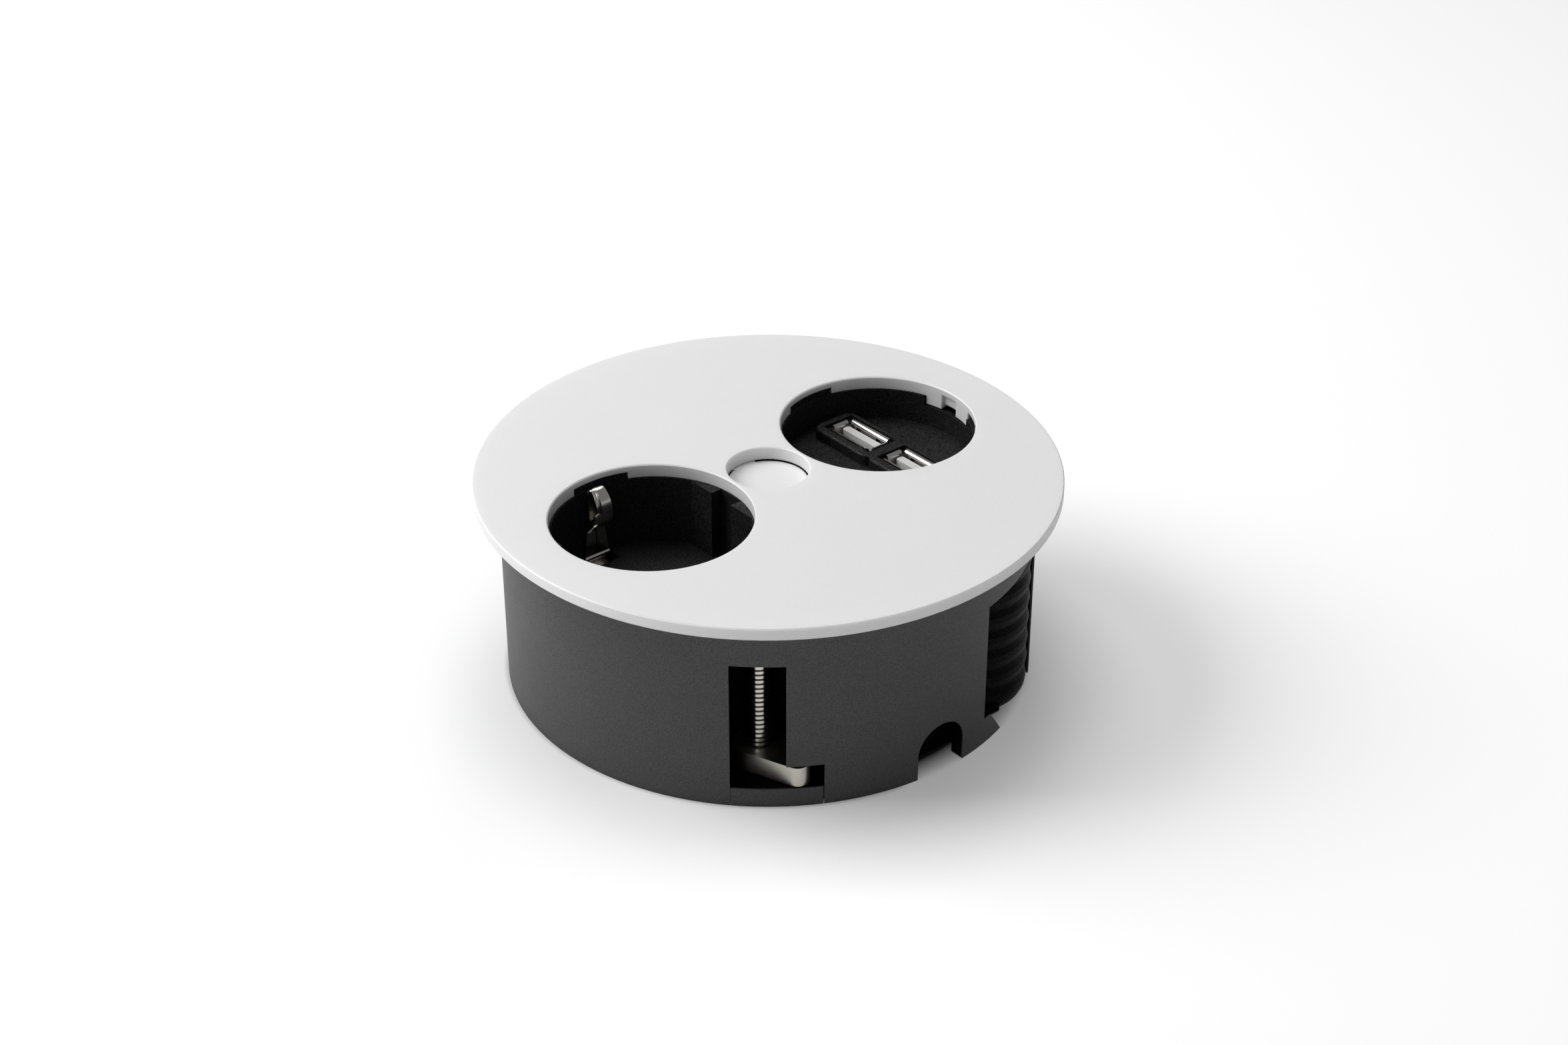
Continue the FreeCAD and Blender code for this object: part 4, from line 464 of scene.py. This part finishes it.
# %% [markdown]
# ## Standing in for a solid piece
# Three kinds of piece have a form that is finer than the solid model carries: the screws' thread,
# the strap's loops and the ports' rolled lips. Each gets a new mesh that takes the solid's place,
# its finish and its body. It begins as a copy of the solid, so that what isn't refined stays true.

# %% Mesh helpers
SHARP_FROM = math.radians(35.0)
SLOT_OF = {row["node"]: row["material_slot"] for row in frame["record"]["subparts"]}


def kept_below(solid, level):
    """A copy of a solid piece's mesh, cut off at a level."""
    form = bmesh.new()
    form.from_mesh(solid.data)
    everything = form.verts[:] + form.edges[:] + form.faces[:]
    bmesh.ops.bisect_plane(
        form, geom=everything, plane_co=(0, 0, level), plane_no=(0, 0, 1), clear_outer=True)
    return form


def standing_in(form, solid, name, body="module"):
    """Turns the mesh into an object that replaces the solid piece and rides on its body."""
    bmesh.ops.recalc_face_normals(form, faces=form.faces[:])
    mesh = bpy.data.meshes.new(name)
    form.to_mesh(mesh)
    form.free()
    mesh.materials.append(FINISHES[SLOT_OF[solid.name]])
    mesh.set_sharp_from_angle(angle=SHARP_FROM)
    piece = bpy.data.objects.new(name, mesh)
    bpy.context.scene.collection.objects.link(piece)
    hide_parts(solid.name)
    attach(piece, body)
    print(name, "has", len(mesh.polygons), "faces")


print("pieces can be replaced")

# %% [markdown]
# ## Threaded clamp screws
# The two long screws draw the claws up against the desk board, so they are threaded all the way.
# The solid model has them smooth, at the thread's outside radius. A thread could be made with a
# Screw modifier, but a Geometry Nodes tree keeps pitch and depth as named inputs and gives both
# screws from one recipe. It rolls a flat grid into a tube whose rows climb one pitch in a turn:
# of every four rows two lie on the core and two on the crest. The crests in the photograph are
# broad and bright, so the crest takes more than half of the pitch.

# %% Thread recipe
THREAD_SIDES, ROWS_PER_TURN = 40, 4
FLANK_SHARE, CREST_SHARE = 0.12, 0.56
WELD = 0.000005


def named_inputs(tree, sizes):
    """Gives a tree its named length inputs, a place and a finish, and returns its input sockets."""
    for name in sizes:
        tree.interface.new_socket(name, in_out="INPUT", socket_type="NodeSocketFloat")
    tree.interface.new_socket("Axis", in_out="INPUT", socket_type="NodeSocketVector")
    tree.interface.new_socket("Finish", in_out="INPUT", socket_type="NodeSocketMaterial")
    tree.interface.new_socket("Geometry", in_out="OUTPUT", socket_type="NodeSocketGeometry")
    return tree.nodes.new("NodeGroupInput").outputs


def finish_recipe(tree, given, geometry):
    """Puts the geometry at its axis, realizes it and gives it its finish."""
    placed = tree.nodes.new("GeometryNodeTransform")
    link(tree, geometry, placed.inputs["Geometry"])
    link(tree, given["Axis"], placed.inputs["Translation"])
    real = tree.nodes.new("GeometryNodeRealizeInstances")
    link(tree, placed.outputs[0], real.inputs[0])
    dressed = tree.nodes.new("GeometryNodeSetMaterial")
    link(tree, real.outputs[0], dressed.inputs["Geometry"])
    link(tree, given["Finish"], dressed.inputs["Material"])
    link(tree, dressed.outputs[0], tree.nodes.new("NodeGroupOutput").inputs["Geometry"])


def thread_recipe():
    """A tree that makes a thread between two heights from its core, crest and pitch."""
    tree = bpy.data.node_groups.new("thread_recipe", "GeometryNodeTree")
    given = named_inputs(tree, ("Core", "Crest", "Pitch", "Low", "High"))

    def sum_of(operation, first, second=None):
        return calculate(tree, operation, first, second)

    pitches = sum_of("DIVIDE", sum_of("SUBTRACT", given["High"], given["Low"]), given["Pitch"])
    turns = sum_of("ADD", sum_of("CEIL", pitches), 1.0)
    last_row = sum_of("MULTIPLY", turns, float(ROWS_PER_TURN))
    grid = add_node(tree, "GeometryNodeMeshGrid", Vertices_Y=THREAD_SIDES + 1)
    link(tree, sum_of("ADD", last_row, 1.0), grid.inputs["Vertices X"])
    parts = tree.nodes.new("ShaderNodeSeparateXYZ")
    link(tree, tree.nodes.new("GeometryNodeInputPosition").outputs[0], parts.inputs[0])
    row = sum_of("ROUND", sum_of("MULTIPLY", sum_of("ADD", parts.outputs["X"], 0.5), last_row))
    round_share = sum_of("ADD", parts.outputs["Y"], 0.5)

    # Phases 0 and 3 lie on the core, 1 and 2 on the crest
    phase = sum_of("MODULO", row, float(ROWS_PER_TURN))
    on_crest = sum_of("LESS_THAN", sum_of("ABSOLUTE", sum_of("SUBTRACT", phase, 1.5)), 1.0)
    depth = sum_of("SUBTRACT", given["Crest"], given["Core"])
    radius = sum_of("ADD", given["Core"], sum_of("MULTIPLY", depth, on_crest))

    whole_turns = sum_of("FLOOR", sum_of("DIVIDE", sum_of("ADD", row, 0.5), float(ROWS_PER_TURN)))
    climbed = sum_of("ADD", whole_turns, sum_of("SUBTRACT", round_share, 1.0))
    # Up a flank, along the crest, down a flank; the rest of the pitch lies along the core
    for step, climb in ((0.5, FLANK_SHARE), (1.5, CREST_SHARE), (2.5, FLANK_SHARE)):
        passed = sum_of("GREATER_THAN", phase, step)
        climbed = sum_of("ADD", climbed, sum_of("MULTIPLY", passed, climb))
    height = sum_of("ADD", given["Low"], sum_of("MULTIPLY", climbed, given["Pitch"]))
    height = sum_of("MINIMUM", sum_of("MAXIMUM", height, given["Low"]), given["High"])

    angle = sum_of("MULTIPLY", round_share, 2.0 * math.pi)
    rolled = tree.nodes.new("ShaderNodeCombineXYZ")
    link(tree, sum_of("MULTIPLY", radius, sum_of("COSINE", angle)), rolled.inputs["X"])
    link(tree, sum_of("MULTIPLY", radius, sum_of("SINE", angle)), rolled.inputs["Y"])
    link(tree, height, rolled.inputs["Z"])
    moved = tree.nodes.new("GeometryNodeSetPosition")
    link(tree, grid.outputs["Mesh"], moved.inputs["Geometry"])
    link(tree, rolled.outputs[0], moved.inputs["Position"])
    welded = add_node(tree, "GeometryNodeMergeByDistance", Distance=WELD)
    link(tree, moved.outputs[0], welded.inputs["Geometry"])
    finish_recipe(tree, given, welded.outputs[0])
    return tree


thread = thread_recipe()
print("thread recipe has", len(thread.nodes), "nodes")


# %% Run a recipe
def run_recipe(name, tree, **values):
    """Runs a recipe with these inputs and returns its plain mesh."""
    holder = bpy.data.objects.new(name + "_maker", bpy.data.meshes.new(name + "_start"))
    bpy.context.scene.collection.objects.link(holder)
    modifier = holder.modifiers.new("recipe", "NODES")
    modifier.node_group = tree
    for item in tree.interface.items_tree:
        if item.item_type == "SOCKET" and item.in_out == "INPUT":
            modifier[item.identifier] = values[item.name]
    evaluated = holder.evaluated_get(bpy.context.evaluated_depsgraph_get())
    mesh = bpy.data.meshes.new_from_object(evaluated)
    bpy.data.objects.remove(holder)
    return mesh


print("recipes can run")

# %% The two threaded screws
THREAD_CREST, THREAD_CORE, THREAD_PITCH = 0.002825, 0.00225, 0.00111
SAME_RADIUS = 0.00001


def threaded_screw(label):
    """A copy of the solid screw's head and tip, with a thread in place of its smooth shank."""
    solid = nodes["clamp_screw_" + label]
    low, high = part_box(solid.name)
    axis = ((low[0] + high[0]) / 2.0, (low[1] + high[1]) / 2.0)
    form = bmesh.new()
    form.from_mesh(solid.data)

    def on_shank(vertex):
        reach = math.hypot(vertex.co.x - axis[0], vertex.co.y - axis[1])
        return abs(reach - THREAD_CREST) < SAME_RADIUS

    shank = [face for face in form.faces if all(on_shank(vertex) for vertex in face.verts)]
    levels = [vertex.co.z for face in shank for vertex in face.verts]
    bmesh.ops.delete(form, geom=shank, context="FACES")
    rolled = run_recipe(
        "thread_" + label, thread, Core=THREAD_CORE, Crest=THREAD_CREST, Pitch=THREAD_PITCH,
        Low=min(levels), High=max(levels), Axis=(*axis, 0.0), Finish=FINISHES["screw_steel"])
    form.from_mesh(rolled)
    bpy.data.meshes.remove(rolled)
    for face in form.faces:
        face.smooth = True
    standing_in(form, solid, "threaded_screw_" + label, "screw_" + label)
    print("thread is", round((max(levels) - min(levels)) * MM_PER_M, 1), "mm long")


for label in ("front", "back"):
    threaded_screw(label)

# %% [markdown]
# ## Spring loops of the earth strap
# Each end of the strap is curled into a loop that presses on the plug's side. A slit divides it,
# and the right half is pressed forward in the upper bend, so that it touches the plug first.
# The solid model has the plain loop. Here the strap below the loops is kept as it is, and each
# loop is swept again with its step. A curve with a bevel object could do it, but its section
# can't change on the way, so the section is carried along a smooth path in mesh code.


# %% Sweep helpers
def between(before, start, end, after, t):
    """A number on a smooth line from start to end, at the share t of the way."""
    slope = (end - before) * t
    bend = (2 * before - 5 * start + 4 * end - after) * t ** 2
    twist = (3 * start - before - 3 * end + after) * t ** 3
    return 0.5 * (2 * start + slope + bend + twist)


def smooth_path(points, steps):
    """Points on a smooth line through the given ones; each point is a tuple of numbers."""
    line = []
    last = len(points) - 1
    for index in range(last):
        corners = [points[min(max(spot, 0), last)] for spot in range(index - 1, index + 3)]
        for step in range(steps):
            line.append(tuple(between(*numbers, step / steps) for numbers in zip(*corners)))
    return line + [points[-1]]


def skin(form, sections):
    """Joins closed sections of equal length into a solid with two end caps."""
    rings = [[form.verts.new(point) for point in section] for section in sections]
    for lower, upper in zip(rings, rings[1:]):
        count = len(lower)
        for index in range(count):
            following = (index + 1) % count
            face = form.faces.new((lower[index], lower[following], upper[following], upper[index]))
            face.smooth = True
    form.faces.new(rings[0])
    form.faces.new(rings[-1])


print("sweeps ready")

# %% The loop's sizes, in mm
SHEET = 0.6
NECK_LEVEL = 34.34
STEPS_PER_STATION = 6
# Inwards from the root, up from the neck, half the width, and the height of the step
LOOP_STATIONS = (
    (0.0, -0.1, 2.4, 0.0), (0.5, 0.55, 2.4, 0.0), (1.6, 1.75, 2.4, 0.0),
    (2.55, 2.95, 2.4, 0.0), (3.05, 4.3, 2.4, 0.0), (3.13, 5.3, 2.38, 0.04),
    (3.08, 5.75, 2.3, 0.42), (2.85, 7.0, 2.25, 0.45), (2.3, 8.4, 2.15, 0.45),
    (1.5, 9.55, 2.0, 0.42), (0.75, 10.05, 1.9, 0.3), (0.2, 9.85, 1.85, 0.1),
    (0.05, 9.2, 1.8, 0.0), (0.1, 6.0, 1.75, 0.0), (0.15, 2.9, 1.7, 0.0),
)
# Where the step lies across the strip, its slope, and how much it narrows the low left part
STEP_SIDE, STEP_SLOPE, LEFT_CUT = -0.6, 0.12, 1.6
EDGE_ROUND, SHOULDER, EDGE_WIDTH = 0.1, 0.2, 0.06
STEP_TOE, STEP_EDGE = 0.8, 0.7
print("loop passes", len(LOOP_STATIONS), "stations")


# %% Spring loops
def loop_section(half, step):
    """The strip's section, across and up: a low left part, a raised right part, a flat back."""
    left = -half + LEFT_CUT * step
    return [
        (left, -EDGE_ROUND), (left + EDGE_ROUND, 0.0), (STEP_SIDE - STEP_SLOPE, 0.0),
        (STEP_SIDE, step * STEP_TOE), (STEP_SIDE + EDGE_ROUND, step), (half - SHOULDER, step),
        (half - EDGE_WIDTH, step * STEP_EDGE), (half, -EDGE_ROUND), (half, -SHEET), (left, -SHEET),
    ]


def add_loop(form, across):
    """Sweeps one spring loop; across is 1 at the far end and -1 at the near one."""
    middle = (STRAP[0][0] + STRAP[1][0]) / 2.0
    root = STRAP[1][1] * MM_PER_M - SHEET / 2.0
    line = smooth_path(LOOP_STATIONS, STEPS_PER_STATION)
    spots = [(root - reach, NECK_LEVEL + rise) for reach, rise, half, step in line]
    sections = []
    for index, (y, z) in enumerate(spots):
        back, ahead = spots[max(index - 1, 0)], spots[min(index + 1, len(spots) - 1)]
        forward = Vector((ahead[0] - back[0], ahead[1] - back[1])).normalized()
        section = []
        for side, lift in loop_section(line[index][2], line[index][3]):
            lift += SHEET / 2.0
            section.append((middle + side / MM_PER_M, (y - forward.y * lift) * across / MM_PER_M,
                            (z + forward.x * lift) / MM_PER_M))
        sections.append(section)
    skin(form, sections)


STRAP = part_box("earth_strap")
strap_form = kept_below(nodes["earth_strap"], NECK_LEVEL / MM_PER_M)
for across in (1, -1):
    add_loop(strap_form, across)
standing_in(strap_form, nodes["earth_strap"], "earth_strap_sprung")

# %% [markdown]
# ## Rolled mouths of the charging ports
# The shells of the two ports are bent from thin sheet, and their four mouth edges are rolled
# outwards like a trumpet, so that a plug finds its way in. The roll is what catches the light.
# The solid model has a plain slant there. Each lip is a short straight extrusion of one bent
# section, so the section is drawn once and set round the mouth four times.

# %% The lips' sizes, in metres
LIP_HEIGHT, LIP_SHEET, LIP_FLAT, ROLL_STEPS = 0.00095, 0.0003, 0.00015, 10
# Direction, distance from the mouth's middle, length and roll of each lip
LIPS = (
    (0.0, 0.00255, 0.0122, 0.00095), (math.pi, 0.00255, 0.0122, 0.00095),
    (math.pi / 2, 0.00625, 0.0041, 0.00065), (-math.pi / 2, 0.00625, 0.0041, 0.00065),
)
print("lips at each mouth:", len(LIPS))


# %% Rolled lips
def lip_outline(roll):
    """The bent section of a lip, out and up: its outer side, then its inner side back."""
    outline = []
    for radius in (roll, roll - LIP_SHEET):
        side = [(roll - radius, 0.0)]
        for step in range(1, ROLL_STEPS + 1):
            angle = math.pi / 2 * step / ROLL_STEPS
            side.append((roll - radius * math.cos(angle),
                         LIP_HEIGHT - roll + radius * math.sin(angle)))
        side.append((roll + LIP_FLAT, LIP_HEIGHT - roll + radius))
        outline += side if radius == roll else side[::-1]
    return outline


def add_lip(form, place, turn, length, roll):
    """One rolled lip: the middle of its foot, its direction outwards, its length and its roll."""
    c, s = math.cos(turn), math.sin(turn)
    sections = []
    for shift in (-length / 2.0, length / 2.0):
        sections.append([
            (place[0] + out * c - shift * s, place[1] + out * s + shift * c, place[2] + up)
            for out, up in lip_outline(roll)])
    skin(form, sections)


def rolled_mouth(label):
    """Cuts a shell off below its plain lips and adds four rolled ones."""
    solid = nodes["usb_shell_" + label]
    low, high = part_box(solid.name)
    middle_x, middle_y = (low[0] + high[0]) / 2.0, (low[1] + high[1]) / 2.0
    foot = high[2] - LIP_HEIGHT
    form = kept_below(solid, foot)
    for turn, reach, length, roll in LIPS:
        place = (middle_x + reach * math.cos(turn), middle_y + reach * math.sin(turn), foot)
        add_lip(form, place, turn, length, roll)
    standing_in(form, solid, "port_shell_rolled_" + label)


for label in ("far", "near"):
    rolled_mouth(label)

# %% [markdown]
# ## Dressing the solid pieces
# Each solid piece names a material slot in its record. The finish with the same name goes on it,
# so a piece can never end up with a finish that its record doesn't know.

# %% Dress the pieces
for name, slot_name in SLOT_OF.items():
    piece = nodes[name]
    if not piece.material_slots:
        piece.data.materials.append(FINISHES[slot_name])
    for slot in piece.material_slots:
        slot.material = FINISHES[slot_name]
print("dressed", len(SLOT_OF), "pieces")

# %% [markdown]
# ## Last checks
# The dressed model must keep the solid model's size. How much its box grew is printed.

# %% Sizes
dressed_low, dressed_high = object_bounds()
grown = [(after - before) * MM_PER_M for before, after in zip(solid_high, dressed_high)]
print("grew by mm:", [round(value, 3) for value in grown])
